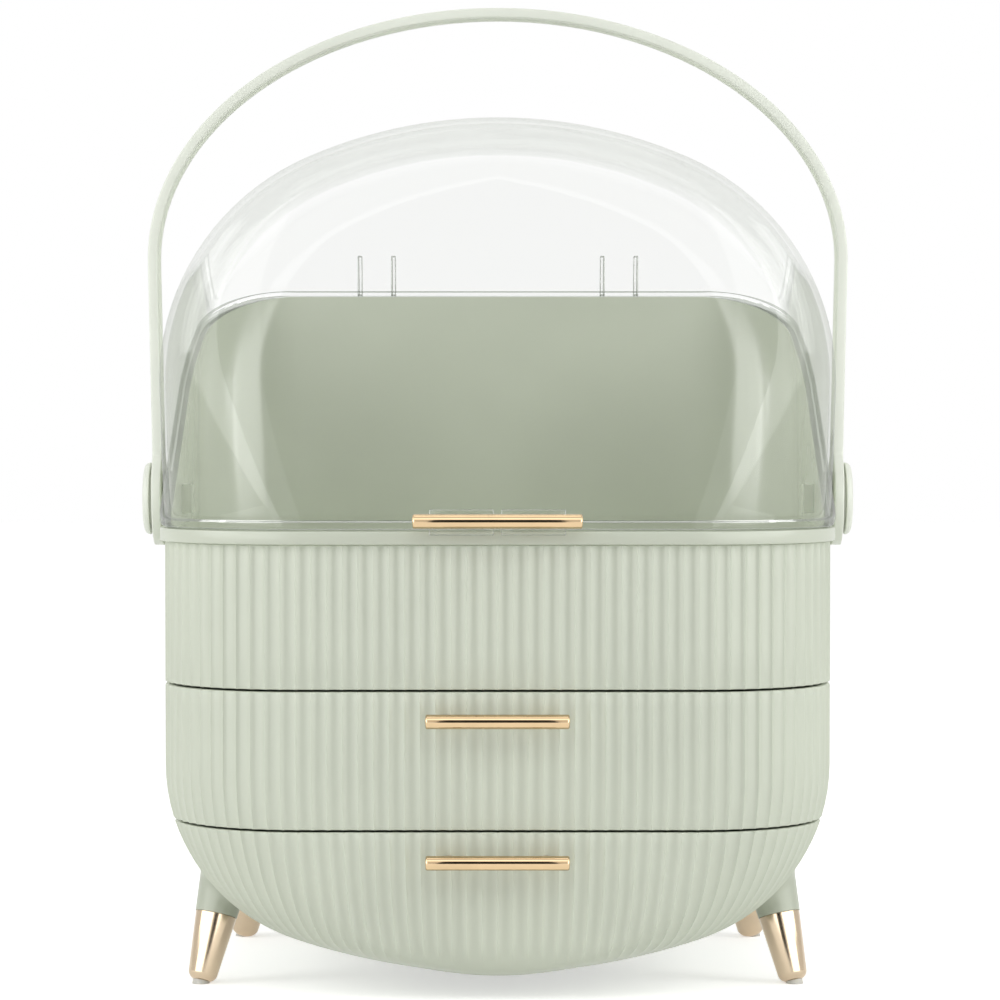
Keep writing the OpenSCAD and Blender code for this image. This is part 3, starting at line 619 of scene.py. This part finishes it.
def tub_inner(i, j):
    if j == 0:
        return Vector((0, 0, tub_low.z + tub_floor))
    share = (j - 1) / (len(top_rows) - 1)
    bend = min(1.0, share * 2)
    a = bend * math.pi / 2
    p = plan_point(i, tub_wall + floor_corner * (1 - math.sin(a)), False)
    rise = tub_high.z - tub_low.z - tub_floor - floor_corner
    z = tub_low.z + tub_floor + floor_corner * (1 - math.cos(a)) + rise * max(0.0, share * 2 - 1)
    return Vector((p.x, p.y, z))


bm = moulded(plan_columns, len(top_rows), tub_outer, tub_inner)
tub = new_object("fluted_tub", bm, "body", sage)
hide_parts("tub")

# %% [markdown]
# ## The dome
# The lid and the hood are two parts of one dome, cut along a slanting joint. The dome's front
# view is an arch of two radii. Its edges to the flat front and back are rounded, widely at the
# bottom where they meet the body's corners, and narrowly at the crest.

# %% The dome's surface
dome_top = node_box("clear_lid")[1].z
ring_height = 5.7
ring_top = tub_high.z + ring_height
dome_radius = 198
shoulder_radius = 104.4
crest_rounding = 15
front_swell = 2.2
rear_swell = 0.35
dome_wall = 2.5
slant_start = 50
slant_ease = 14
slant_rise = 0.5533
shoulder_x = half_width - shoulder_radius
dome_centre = dome_top - dome_radius
shoulder_z = dome_centre + math.sqrt((dome_radius - shoulder_radius) ** 2 - shoulder_x**2)
shoulder_angle = math.acos(shoulder_x / (dome_radius - shoulder_radius))
up_side = shoulder_z - ring_top
up_shoulder = up_side + shoulder_radius * shoulder_angle
up_crest = up_shoulder + dome_radius * (math.pi / 2 - shoulder_angle)


def dome_outline(s, inset):
    """Half width, height and lean of the dome's skin at length s up its arch."""
    if s < up_side:
        return half_width - inset, ring_top + s, 0.0
    if s < up_shoulder:
        a = (s - up_side) / shoulder_radius
        r = shoulder_radius - inset
        return shoulder_x + r * math.cos(a), shoulder_z + r * math.sin(a), a
    a = shoulder_angle + (s - up_shoulder) / dome_radius
    r = dome_radius - inset
    return r * math.cos(a), dome_centre + r * math.sin(a), a


print("arch length from rim to crest:", round(up_crest, 1))


# %% Points on the dome
def edge_rounding(s, corner, power):
    """Rounding of a flat face's edge: the body's corner at the ring, crest_rounding on top."""
    z = dome_outline(s, 0)[1]
    share = max(0.0, (dome_top - z) / (dome_top - ring_top))
    return crest_rounding + (corner - crest_rounding) * share**power


def dome_point(s, c, inset):
    """Column c: 0 to 1 is the rear rounding, 1 to 2 straight, 2 to 3 the front rounding.
    Beyond 0 and 3 the point moves across the flat face towards its middle."""
    x, z, a = dome_outline(s, inset)
    front = edge_rounding(s, front_corner, front_swell) - inset
    rear = edge_rounding(s, rear_corner, rear_swell) - inset
    y_rear = half_depth - inset - rear
    y_front = -(half_depth - inset - front)
    cc = min(3.0, max(0.0, c))
    across = 1 - max(0.0, -c, c - 3)
    if cc < 1:
        phi, r = math.pi / 2 * (1 - cc), rear
        y = y_rear + r * math.sin(phi)
    elif cc > 2:
        phi, r = math.pi / 2 * (cc - 2), front
        y = y_front - r * math.sin(phi)
    else:
        phi, r = 0.0, 0.0
        y = y_rear + (y_front - y_rear) * (cc - 1)
    back = r * (1 - math.cos(phi))
    return Vector(((x - math.cos(a) * back) * across, y, z - math.sin(a) * back))


print("top of the dome at height", round(dome_point(up_crest, 1.5, 0).z, 1))


# %% The slanting joint
def slant_height(y):
    """Height of the joint between lid and hood: level in front, then rising to the back."""
    d = y + half_depth - slant_start
    if abs(d) < slant_ease:
        return ring_top + slant_rise * (d + slant_ease) ** 2 / (4 * slant_ease)
    return ring_top + slant_rise * max(0.0, d)


def slant_length(c):
    """Length up the arch at which column c meets the slanting joint."""
    def below(s):
        p = dome_point(s, c, 0)
        return p.z < slant_height(p.y)

    return halved(0.0, up_shoulder, 30, below)


print("the joint ends at height", round(slant_height(half_depth), 1))

# %% [markdown]
# ## Clear lid
# The lid's lower edge carries a lip that stands a little proud, so that dust runs off outside
# the rim. The lip is the grid's first eight rows, pushed out by up to two millimetres. The
# columns run from the middle of the flat front over its rounding, along the side and round the
# back, and the rows climb one side of the arch and go down the other.

# %% Lid shell
lip_out = 2
lip_height = 3.5
lip_return = 0.4
lid_gap = 0.4
flat_steps = 8
side_steps = 8
round_steps = 14
face_columns = [3 + k / flat_steps for k in range(flat_steps, 0, -1)]
lid_columns = (face_columns + [2 + k / round_steps for k in range(round_steps, 0, -1)]
               + [1 + k / side_steps for k in range(side_steps, 0, -1)]
               + [k / round_steps for k in range(round_steps, 0, -1)]
               + [-k / flat_steps for k in range(0, flat_steps + 1)])
lip_rows = [(0, lip_out - 0.5), (0.15, lip_out - 0.15), (0.5, lip_out), (lip_height - 0.5, lip_out),
            (lip_height - 0.15, lip_out - 0.15), (lip_height, lip_out - 0.5), (lip_height, 0.15),
            (lip_height + lip_return, 0)]
skin_rows = 40
side_rows = len(lip_rows) + skin_rows
lid_starts = [slant_length(min(3.0, max(0.0, c))) + lid_gap for c in lid_columns]


def lid_place(i, j, inner):
    k = min(j, 2 * side_rows - j)
    side = 1 if j <= side_rows else -1
    start = lid_starts[i]
    if inner:
        s = start + (up_crest - start) * k / side_rows
        out = -dome_wall
    elif k < len(lip_rows):
        s, out = start + lip_rows[k][0], lip_rows[k][1]
    else:
        s0 = start + lip_height + lip_return
        s, out = s0 + (up_crest - s0) * (k - len(lip_rows) + 1) / (skin_rows + 1), 0
    p = dome_point(s, lid_columns[i], -out)
    return Vector((side * p.x, p.y, p.z))


bm = moulded(len(lid_columns) - 1, 2 * side_rows, partial(lid_place, inner=False),
             partial(lid_place, inner=True))
row_layer, skin_layer = bm.verts.layers.int["row"], bm.verts.layers.int["skin"]


def lip_edge(face):
    """True for the narrow rounded edges of the lip and for the lid's lower rim."""
    skins = {v[skin_layer] for v in face.verts}
    rows = [min(v[row_layer], 2 * side_rows - v[row_layer]) for v in face.verts]
    if skins == {0, 1}:
        return True
    return skins == {0} and (max(rows) <= 2 or (min(rows) >= 3 and max(rows) <= 7))


# the lip's edges and the lid's lower rim take the painted edge shade
lid = new_object("clear_dome_lid", bm, "lid", clear, clear_edge_painted_shade, lip_edge)
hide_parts("clear_lid")

# %% [markdown]
# ## Hood
# The hood is the dome below the slanting joint. It runs from a thin tip at one front corner
# round the back to the other. It is the lid's surface with other rows, from just inside the
# rim ring up to the joint, so lid and hood lie in one curve as they do when moulded as a pair.

# %% Hood shell
hood_tip_lead = 8
hood_foot = 1
hood_inset = dome_wall + 0.06
hood_tip = 3.0
while dome_point(0, hood_tip, 0).y + half_depth < slant_start - hood_tip_lead:
    hood_tip -= 0.002
hood_half = [hood_tip] + [c for c in lid_columns if -1 <= c < hood_tip - 0.02]
hood_columns = [(c, 1) for c in hood_half] + [(c, -1) for c in reversed(hood_half[:-1])]
hood_rows = spaced(0, 1, 10, 0.02)


def hood_place(i, j, inset):
    c, side = hood_columns[i]
    top = slant_length(min(3.0, max(0.0, c))) + hood_foot
    s = -hood_foot + top * hood_rows[j]
    rounding = eased((1 - hood_rows[j]) * top) if inset == 0 else 0
    p = dome_point(s, c, inset + rounding)
    return Vector((side * p.x, p.y, p.z))


bm = moulded(len(hood_columns) - 1, len(hood_rows) - 1, partial(hood_place, inset=0),
             partial(hood_place, inset=hood_inset))
hood = new_object("rear_hood_shell", bm, "body", sage_gloss)

# %% [markdown]
# A smooth ring caps the fluted tub, as wide as the lid's lip above it. Its section is a short
# list of points with rounded outer corners, and the grid carries it once round the plan.

# %% Rim ring
ring_ease = 0.7
half_ease = 0.2
ring_profile = [(-dome_wall, 0), (lip_out - ring_ease, 0), (lip_out - half_ease, half_ease),
                (lip_out, ring_ease), (lip_out, ring_height - ring_ease),
                (lip_out - half_ease, ring_height - half_ease),
                (lip_out - ring_ease, ring_height), (-dome_wall, ring_height)]


def ring_place(i, j):
    out, up = ring_profile[j % len(ring_profile)]
    p = plan_point(i, -out, False)
    return Vector((p.x, p.y, tub_high.z + up))


bm = moulded(plan_columns, len(ring_profile), ring_place)
ring = new_object("rim_ring", bm, "body", sage)

# %% [markdown]
# ## Small box and round helpers
# Bars, posts, necks, caps and tips are turned shapes: a profile of a few points is spun round
# an axis. Ears, knuckles and blocks are cubes with a small bevel.


# %% Turned and block shapes
bevel_steps = 3


def turned(profile, place, steps=72):
    """Spins a profile of (radius, height) points round Z, then moves it by the matrix place."""
    bm = bmesh.new()
    line = [bm.verts.new((r, 0, h)) for r, h in profile]
    edges = [bm.edges.new(pair) for pair in zip(line, line[1:])]
    bmesh.ops.spin(bm, geom=line + edges, cent=(0, 0, 0), axis=(0, 0, 1), angle=math.tau,
                   steps=steps, use_merge=True)
    bmesh.ops.remove_doubles(bm, verts=bm.verts[:], dist=weld)
    bmesh.ops.transform(bm, matrix=Matrix.Scale(MM, 4) @ place, verts=bm.verts[:])
    bmesh.ops.recalc_face_normals(bm, faces=bm.faces[:])
    return bm


def along_x(x, y, z):
    """Turns a Z shape to lie along X and moves it to a point, in millimetres."""
    return Matrix.Translation((x, y, z)) @ Matrix.Rotation(math.pi / 2, 4, "Y")


def along_y(x, y, z):
    """Turns a Z shape to point to the front (-Y) and moves it to a point."""
    return Matrix.Translation((x, y, z)) @ Matrix.Rotation(math.pi / 2, 4, "X")


def block(low, high, bevel):
    """A cube between two corners, in millimetres, with rounded edges."""
    bm = bmesh.new()
    bmesh.ops.create_cube(bm, size=1)
    size = Vector(high) - Vector(low)
    middle = (Vector(high) + Vector(low)) / 2
    bmesh.ops.scale(bm, vec=size, verts=bm.verts[:])
    bmesh.ops.translate(bm, vec=middle, verts=bm.verts[:])
    if bevel:
        bmesh.ops.bevel(bm, geom=bm.edges[:], offset=bevel, affect="EDGES", segments=bevel_steps,
                        profile=0.5, material=-1)
    bmesh.ops.scale(bm, vec=(MM, MM, MM), verts=bm.verts[:])
    return bm


def joined(parts):
    """One bmesh of several."""
    whole = bmesh.new()
    for part in parts:
        mesh = bpy.data.meshes.new("part")
        part.to_mesh(mesh)
        part.free()
        whole.from_mesh(mesh)
        bpy.data.meshes.remove(mesh)
    return whole


def rounded_rod(radius, length, ease=0.8):
    """Profile of a round rod with eased ends, centred on its middle."""
    half = length / 2
    corner = [(radius - ease + ease * math.sin(a), half - ease + ease * math.cos(a))
              for a in [math.pi / 2 * k / 5 for k in range(6)]]
    top = [(0, half)] + corner
    return top + [(r, -h) for r, h in reversed(top)]


print("turned, block and rod helpers ready")

# %% [markdown]
# ## Lid hinge
# Two snap hinges hold the lid at the back. Each has two clear ears on the lid that reach down
# behind the hood, where a green knuckle sits between them on a steel pin. From the front only
# the clear ribs of the ears show, above the joint. A rib is a cube whose upper back edge is
# drawn in and whose corners are bevelled.

# %% Hinge pieces
pin_low, pin_high = node_box("hinge_pins")
hinge_y = (pin_low.y + pin_high.y) / 2
hinge_z = (pin_low.z + pin_high.z) / 2
hinge_x = 57.2
ear_pitch = 15.8
ear_thickness = 2.2
ear_radius = 4.5
ear_rise = 19
ear_overlap = 1
rib_bevel = 0.6
knuckle_radius = 4
knuckle_root = 14
knuckle_play = 0.6
knuckle_length = ear_pitch - ear_thickness - knuckle_play
joint_z = slant_height(half_depth)
rib_foot = joint_z + lid_gap
ears, knuckles = [], []


def tapered(low, high, top_y, bevel):
    """A block whose top back edge is drawn in to the depth top_y, in millimetres."""
    bm = block(low, high, 0)
    for v in bm.verts:
        if v.co.z > (high[2] - 0.01) * MM and v.co.y > (high[1] - 0.01) * MM:
            v.co.y = top_y * MM
    bmesh.ops.bevel(bm, geom=bm.edges[:], offset=bevel * MM, affect="EDGES", segments=bevel_steps,
                    profile=0.5, material=-1)
    return bm


def slanting(face):
    """True for a bevel, whose face looks along no axis."""
    return max(abs(c) for c in face.normal) < 0.95


for side in (-1, 1):
    for ear in (-1, 1):
        x = side * hinge_x + ear * ear_pitch / 2
        near, far = x - ear_thickness / 2, x + ear_thickness / 2
        ears.append(turned(rounded_rod(ear_radius, ear_thickness, 0.4),
                           along_x(x, hinge_y, hinge_z), 48))
        ears.append(block((near, hinge_y - ear_radius, hinge_z),
                          (far, hinge_y + ear_radius, rib_foot + ear_overlap), 0.4))
        ears.append(tapered((near, half_depth - dome_wall / 2, rib_foot),
                            (far, hinge_y + ear_radius, rib_foot + ear_rise),
                            half_depth + ear_radius, rib_bevel))
    x = side * hinge_x
    near, far = x - knuckle_length / 2, x + knuckle_length / 2
    knuckles.append(turned(rounded_rod(knuckle_radius, knuckle_length, 0.5),
                           along_x(x, hinge_y, hinge_z), 48))
    knuckles.append(block((near, half_depth - dome_wall / 2, joint_z - knuckle_root),
                          (far, hinge_y + knuckle_radius, hinge_z), rib_bevel))
# the bevels of the ears and ribs take the painted edge shade
lid_ears = new_object("lid_ears", joined(ears), "lid", clear, clear_edge_painted_shade, slanting)
hood_knuckles = new_object("hood_knuckles", joined(knuckles), "body", sage)

# %% [markdown]
# ## Pivots of the carry handle
# A neck on each side of the hood holds the handle away from the dome. A large flat cap covers
# the pivot outside, and a square clip inside keeps its shaft in place. Necks and caps are
# turned about the pivot's axis, and the cap's profile carries the shaft with it.

# %% Necks and caps
pivot_z = 205
neck_radius = 12
neck_root = 1.25
turning_gap = 0.3
band = 4.2
handle_high = node_box("carry_handle")[1]
handle_half = handle_high.x
foot_half = handle_half - 2.2
necks = []
for side in (-1, 1):
    inner_x, outer_x = half_width - neck_root, foot_half - band - turning_gap
    necks.append(turned(rounded_rod(neck_radius, outer_x - inner_x, 0.5),
                        along_x(side * (inner_x + outer_x) / 2, 0, pivot_z)))
neck = new_object("pivot_necks", joined(necks), "body", sage)
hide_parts("rear_hood")

cap_radius = 15.9
cap_rounding = 2.5
cap_gap = 1.6
cap_bevel = 0.3
shaft_radius = 4
for side, name in ((-1, "left"), (1, "right")):
    low, high = node_box("pivot_cap_" + name)
    inner = foot_half + cap_gap
    outer = max(abs(low.x), abs(high.x))
    shaft_end = min(abs(low.x), abs(high.x))
    corner = [(cap_radius - cap_rounding + cap_rounding * math.cos(a),
               outer - cap_rounding + cap_rounding * math.sin(a))
              for a in [math.pi / 2 * k / 6 for k in range(7)]]
    disc_face = foot_half + turning_gap
    profile = ([(0, shaft_end), (shaft_radius, shaft_end), (shaft_radius, disc_face),
                (neck_radius, disc_face), (neck_radius, inner), (cap_radius - cap_bevel, inner),
                (cap_radius, inner + cap_bevel)] + corner + [(0, outer)])
    turn = Matrix.Translation((0, 0, pivot_z)) @ Matrix.Rotation(side * math.pi / 2, 4, "Y")
    cap = new_object("round_cap_" + name, turned(profile, turn, 96), "body", sage_light)
    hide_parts("pivot_cap_" + name)

# %% [markdown]
# ## Carry handle
# The handle is one flat band that arches from side to side and ends in two round discs. It is
# bent from a grid whose columns follow the arch and whose rows go round the band's section,
# with a shallow groove along its underside. The columns stand close together at the disc's
# lower end, where the outline turns fast, and further apart up the straight leg. A curve with
# a bevel profile would be quicker, but it can't widen into the discs.

# %% Path of the handle
arch_height = 109.6
arch_centre = handle_high.z - arch_height
band_half = 10
disc_radius = 20.5
disc_steps = 24
leg_step = 1.25
close_steps = 29
wide_steps = 16
arch_steps = 36
leg_height = arch_centre - pivot_z
heights = [-disc_radius * math.cos(math.pi / 2 * k / disc_steps) for k in range(disc_steps + 1)]
heights += [leg_step * k for k in range(1, close_steps + 1)]
close_end = heights[-1]
heights += [close_end + (leg_height - close_end) * k / wide_steps for k in range(1, wide_steps)]
path = []
for h in heights:
    share = max(0.0, min(1.0, h / leg_height))
    path.append((foot_half + (handle_half - foot_half) * share, pivot_z + h, 1.0, 0.0, h))
for k in range(arch_steps + 1):
    a = math.pi / 2 * k / arch_steps
    tangent = Vector((arch_height * math.cos(a), handle_half * math.sin(a))).normalized()
    path.append((handle_half * math.cos(a), arch_centre + arch_height * math.sin(a),
                 tangent.x, tangent.y, leg_height))
print("columns on half of the handle:", len(path))

# %% Handle band
groove_depth = 1
groove_half = 7
groove_slope = 0.3
band_ease = 0.7
disc_blend = 5.0


def half_breadth(h):
    """Half breadth of the handle at height h above its pivot: a disc that runs into the band."""
    disc = math.sqrt(max(0.0, disc_radius**2 - h * h)) if abs(h) < disc_radius else 0.0
    if h <= 0:
        return disc
    gap = max(0.0, disc_blend - abs(disc - band_half)) / disc_blend
    return max(disc, band_half) + gap * gap * disc_blend / 4


def band_section(breadth, groove):
    """Section of the band as (across, inwards) points, with eased edges."""
    r = min(band_ease, breadth * 0.45)
    ring = []
    for cx, cy, a0 in ((breadth - r, r, 270), (breadth - r, band - r, 0),
                       (-breadth + r, band - r, 90), (-breadth + r, r, 180)):
        for k in range(5):
            a = math.radians(a0 + 90 * k / 4)
            ring.append((cx + r * math.cos(a), cy + r * math.sin(a)))
    cut = [(groove_half, band), (groove_half - groove_slope, band - groove),
           (-groove_half + groove_slope, band - groove), (-groove_half, band)]
    if breadth < groove_half + 1:
        cut = [(breadth * share, band) for share in (0.5, 0.4, -0.4, -0.5)]
    return ring[:10] + cut + ring[10:]


def handle_place(i, j):
    half = len(path) - 1
    k = min(i, 2 * half - i)
    side = 1 if i <= half else -1
    x, z, nx, nz, h = path[k]
    groove = groove_depth if h > disc_radius + 2 else 0.0
    ring = band_section(half_breadth(h), groove)
    across, inwards = ring[j % len(ring)]
    return Vector((side * (x - nx * inwards), -across, z - nz * inwards))


section_points = len(band_section(band_half, groove_depth))
bm = moulded(2 * (len(path) - 1), section_points, handle_place)
handle = new_object("arched_handle", bm, "handle", sage_light)
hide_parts("carry_handle")

# %% [markdown]
# ## Pull bars
# Three gold rods serve as pulls. The two on the drawers stand on round posts, and the one on
# the lid is held by two clear blocks. A rod is a turned profile with eased ends: a curve with
# a round bevel would give the same rod, but with sharp or half-ball ends.

# %% Bars
bar_radius = 3
post_radius = 2.2
post_length = 8.5
post_x = 20
for name, body in (("lid_bar", "lid"), ("upper_drawer_bar", "upper_drawer"),
                   ("lower_drawer_bar", "lower_drawer")):
    low, high = node_box(name)
    bar_y, bar_z = low.y + bar_radius, (low.z + high.z) / 2
    shapes = [turned(rounded_rod(bar_radius, high.x - low.x), along_x(0, bar_y, bar_z))]
    if name != "lid_bar":
        for side in (-1, 1):
            post = [(0, 0), (post_radius, 0), (post_radius, post_length), (0, post_length)]
            shapes.append(turned(post, along_y(side * post_x, -half_depth, bar_z), 40))
    bar = new_object("gold_" + name, joined(shapes), body, gold_bar)
    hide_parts(name)

# %% [markdown]
# The two blocks of the lid's bar are bevelled cubes between the lid and the rod. Their bevels
# take the lip's painted edge shade, a deeper grey which is what makes a clear block visible at all.

# %% Clear blocks under the lid bar
block_gap = 3
block_reach = 28
low, high = node_box("lid_bar_mount")
mount_shapes = []
for side in (-1, 1):
    x0, x1 = sorted((side * block_gap / 2, side * block_reach))
    mount_shapes.append(block((x0, low.y, low.z), (x1, high.y, high.z), 0.5))
mount = new_object("clear_bar_blocks", joined(mount_shapes), "lid", clear, clear_edge_painted_shade, slanting)
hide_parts("lid_bar_mount")

# %% [markdown]
# ## Legs
# Each leg leans outwards and a little to the front or back. Its green stub grows out of the
# bowl with a soft fillet, so it looks moulded on. The grid's columns go round the leg, and each
# column runs up its own line on the cone until that line meets the bowl. The gold tip below is
# a turned cup whose foot is rounded.

# %% Where a leg meets the bowl
leg_lean = 12
leg_rake = 14
leg_reach = 90.0
tip_height = 30
tip_low = 1.0
tip_top_radius = 9
tip_end_radius = 6.35
tip_slope = (tip_top_radius - tip_end_radius) / (tip_height - tip_low)
feet = {"front": (126.5, -half_depth + 54, -1), "rear": (118, -half_depth + 197, 1)}


def leg_matrix(end, side):
    x, y, rake = feet[end]
    lean = Matrix.Rotation(math.radians(rake * leg_rake), 4, "X")
    tilt = Matrix.Rotation(math.radians(-leg_lean), 4, "Y")
    mirror = Matrix.Scale(side, 4, Vector((1, 0, 0)))
    return mirror @ Matrix.Translation((x, y, 0)) @ tilt @ lean


def inside_bowl(p):
    width = outline_point(outline_distance(p.z))[0] if p.z > belly_bottom else 0
    return abs(p.x) < width


def meeting_length(place, radius_at, a):
    """Length up the leg at which its line at angle a enters the bowl."""
    def outside(length):
        r = radius_at(length)
        return not inside_bowl(place @ Vector((r * math.cos(a), r * math.sin(a), length)))

    return halved(tip_height, leg_reach, 24, outside)


print("tip radius at the floor:", round(tip_end_radius, 2))

# %% Leg stubs and tips
leg_columns = 64
leg_rows = 24
leg_core = 60
stub_root = 2
fillet = 7
tip_rounding = 4
collar_step = 0.35
foot_turn = math.radians(80)
for end in feet:
    for side, label in ((-1, "left"), (1, "right")):
        name = end + "_{}_" + label
        place = leg_matrix(end, side)

        def cone(length):
            return tip_top_radius + tip_slope * (length - tip_height)

        ends = [meeting_length(place, cone, math.tau * i / leg_columns) for i in range(leg_columns)]

        def stub(i, j):
            a = math.tau * i / leg_columns
            if j in (0, leg_rows):
                return place @ Vector((0, 0, tip_height if j == 0 else leg_core))
            top = ends[i % leg_columns] + stub_root
            share = (j - 1) / (leg_rows - 2)
            length = tip_height + (top - tip_height) * share
            near = max(0.0, fillet - (top - length)) / fillet
            r = cone(length) + fillet * 0.5 * (1 - math.sqrt(max(0.0, 1 - near * near)))
            return place @ Vector((r * math.cos(a), r * math.sin(a), length))

        bm = moulded(leg_columns, leg_rows, stub)
        # the stub's darker sage is painted shade for its place under the belly
        leg = new_object(name.format("stub"), bm, "body", stub_sage_painted_shade)
        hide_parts(name.format("leg"))
        foot = [(0, tip_low)] + [(tip_end_radius - tip_rounding + tip_rounding * math.sin(a),
                                  tip_low + tip_rounding - tip_rounding * math.cos(a))
                                 for a in [foot_turn * k / 8 for k in range(9)]]
        foot += [(tip_top_radius - 0.15, tip_height - 0.25),
                 (tip_top_radius - collar_step, tip_height), (0, tip_height)]
        tip = new_object(name.format("gold_tip"), turned(foot, place, 64), "body", gold_tip)
        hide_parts(name.format("tip"))

# %% [markdown]
# ## Finishes of the CAD nodes that stay
# Trays, shelf, screws, pins, clips and pads are simple shapes that the CAD model gives exactly.
# They keep their mesh and get the same finishes as the new pieces.

# %% Finishes by name
# the drawer shelf's darker sage is painted shade for the inside of the body
finishes = {"tray": tray_plastic, "drawer_shelf": inside_sage_painted_shade, "screws": steel, "hinge_pins": steel,
            "pivot_clip": sage, "pad": pad_rubber}
for node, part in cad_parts.items():
    for word, material in finishes.items():
        if word in node:
            part.data.materials.clear()
            part.data.materials.append(material)
            print(node, "takes", material.name)

# %% [markdown]
# ## Floor
# The floor is white to the camera and to what mirrors it, and still takes the object's shadow.
# Half of what is seen of it is its own glow, added for those rays alone, so it sends no light
# on the object.


# %% Floor
def seen_ray(tree):
    """1 for a ray from the camera and for one that a gloss or a clear wall sends on."""
    ray = tree.nodes.new("ShaderNodeLightPath").outputs
    mirrored = reckoned(tree, "MAXIMUM", ray["Is Glossy Ray"], ray["Is Transmission Ray"])
    return reckoned(tree, "MAXIMUM", ray["Is Camera Ray"], mirrored)


bpy.ops.mesh.primitive_plane_add(size=12)
floor = bpy.context.object
floor.name = "floor"
floor_paint, floor_tree, floor_bsdf = shader("pale floor")
floor_noise = object_noise(floor_tree, 3)
drift(floor_tree, (0.9, 0.9, 0.9), floor_noise, 0.995, 1.005, floor_bsdf.inputs["Base Color"])
floor_bsdf.inputs["Roughness"].default_value = 0.7
floor_glow = floor_tree.nodes.new("ShaderNodeEmission")
glow_share = reckoned(floor_tree, "MULTIPLY", seen_ray(floor_tree), 0.5)
floor_sum = floor_tree.nodes.new("ShaderNodeAddShader")
floor_tree.links.new(glow_share, floor_glow.inputs["Strength"])
floor_tree.links.new(floor_bsdf.outputs["BSDF"], floor_sum.inputs[0])
floor_tree.links.new(floor_glow.outputs["Emission"], floor_sum.inputs[1])
floor_out = floor_tree.nodes["Material Output"]
floor_tree.links.new(floor_sum.outputs["Shader"], floor_out.inputs["Surface"])
floor.data.materials.append(floor_paint)
print("floor laid")

# %% [markdown]
# ## Light
# The world is a soft fill that looks white to the camera. Two tall lamps at the sides graze the
# front, which draws the flutes, and weaker ones stand in front and above. Two more boxes stand
# beside the camera for gloss alone: their mirror images in the hood's polished corners end
# sharply where the flat back wall begins.

# %% World
world = bpy.data.worlds.new("studio")
bpy.context.scene.world = world
world.use_nodes = True
tree = world.node_tree
background = tree.nodes["Background"]
background.inputs["Color"].default_value = (1, 1, 1, 1)
background.inputs["Strength"].default_value = 0.5
white = tree.nodes.new("ShaderNodeBackground")
white.inputs["Color"].default_value = (1, 1, 1, 1)
white.inputs["Strength"].default_value = 1.0
mixed(tree, seen_ray(tree), background, white, "World Output")
print("world is white to the camera")


# %% Soft lamps
def soft_lamp(name, spot, target, size, power):
    """A rectangular lamp, in metres and watts, that looks from spot to target."""
    data = bpy.data.lights.new(name, "AREA")
    data.shape = "RECTANGLE"
    data.size, data.size_y = size
    data.energy = power
    lamp = bpy.data.objects.new(name, data)
    bpy.context.collection.objects.link(lamp)
    lamp.location = spot
    aim = Vector(target) - Vector(spot)
    lamp.rotation_euler = aim.to_track_quat("-Z", "Y").to_euler()
    return lamp


soft_lamp("front box", (0, -1.35, 1.4), (0, 0, 0.2), (1.6, 0.7), 4.2)
soft_lamp("top box", (0, 0.1, 1.7), (0, 0, 0.2), (1.2, 1.2), 3)
for side in (-1, 1):
    soft_lamp("side box %d" % side, (side * 1.25, -0.42, 0.7), (0, 0, 0.24), (0.6, 1.0), 6.0)
    gleam = soft_lamp("gleam box %d" % side, (side * 0.85, -1.05, 0.4), (0, 0.05, 0.26),
                      (1.26, 0.8), 7.6)
    gleam.visible_diffuse = False
print("four soft lamps and two for gleams")

# %% [markdown]
# ## Dark card
# Polished metal only looks like metal when something dark is there to be mirrored. A dark card
# stands in front, seen by reflections alone, and draws the thin dark line along each bar.

# %% Dark card
bpy.ops.mesh.primitive_plane_add(size=1)
card = bpy.context.object
card.name = "dark_card"
card_place = Matrix.Translation((0, -0.95, 0.31))
card_size = Matrix.Diagonal((0.3, 0.62, 1, 1))
card.data.transform(card_place @ Matrix.Rotation(math.pi / 2, 4, "X") @ card_size)
card_paint, card_tree, card_bsdf = shader("dark card")
card_noise = object_noise(card_tree, 3)
drift(card_tree, (0.03, 0.03, 0.03), card_noise, 0.9, 1.1, card_bsdf.inputs["Base Color"])
card_bsdf.inputs["Roughness"].default_value = 0.9
card.data.materials.append(card_paint)
card.visible_camera = False
card.visible_transmission = False
card.visible_diffuse = False
card.visible_shadow = False
print("dark card stands in front")

# %% [markdown]
# ## Camera
# A long lens stands a metre and a half in front, a little above the middle, and looks down by
# a degree and a half. From so far away the bowl keeps its proportions.

# %% Camera
camera_distance = 1550
camera_height = 0.2484
camera_shift = 0.001
look_down = math.radians(1.515)
camera_data = bpy.data.cameras.new("camera")
camera_data.lens = 136
camera_data.sensor_width = 36
camera = bpy.data.objects.new("camera", camera_data)
bpy.context.collection.objects.link(camera)
camera.location = (camera_shift, -(half_depth + camera_distance) * MM, camera_height)
camera.rotation_euler = (math.pi / 2 - look_down, 0, 0)
bpy.context.scene.camera = camera
bpy.context.scene.view_settings.view_transform = "Standard"
print("camera stands", round(-camera.location.y, 3), "m in front")
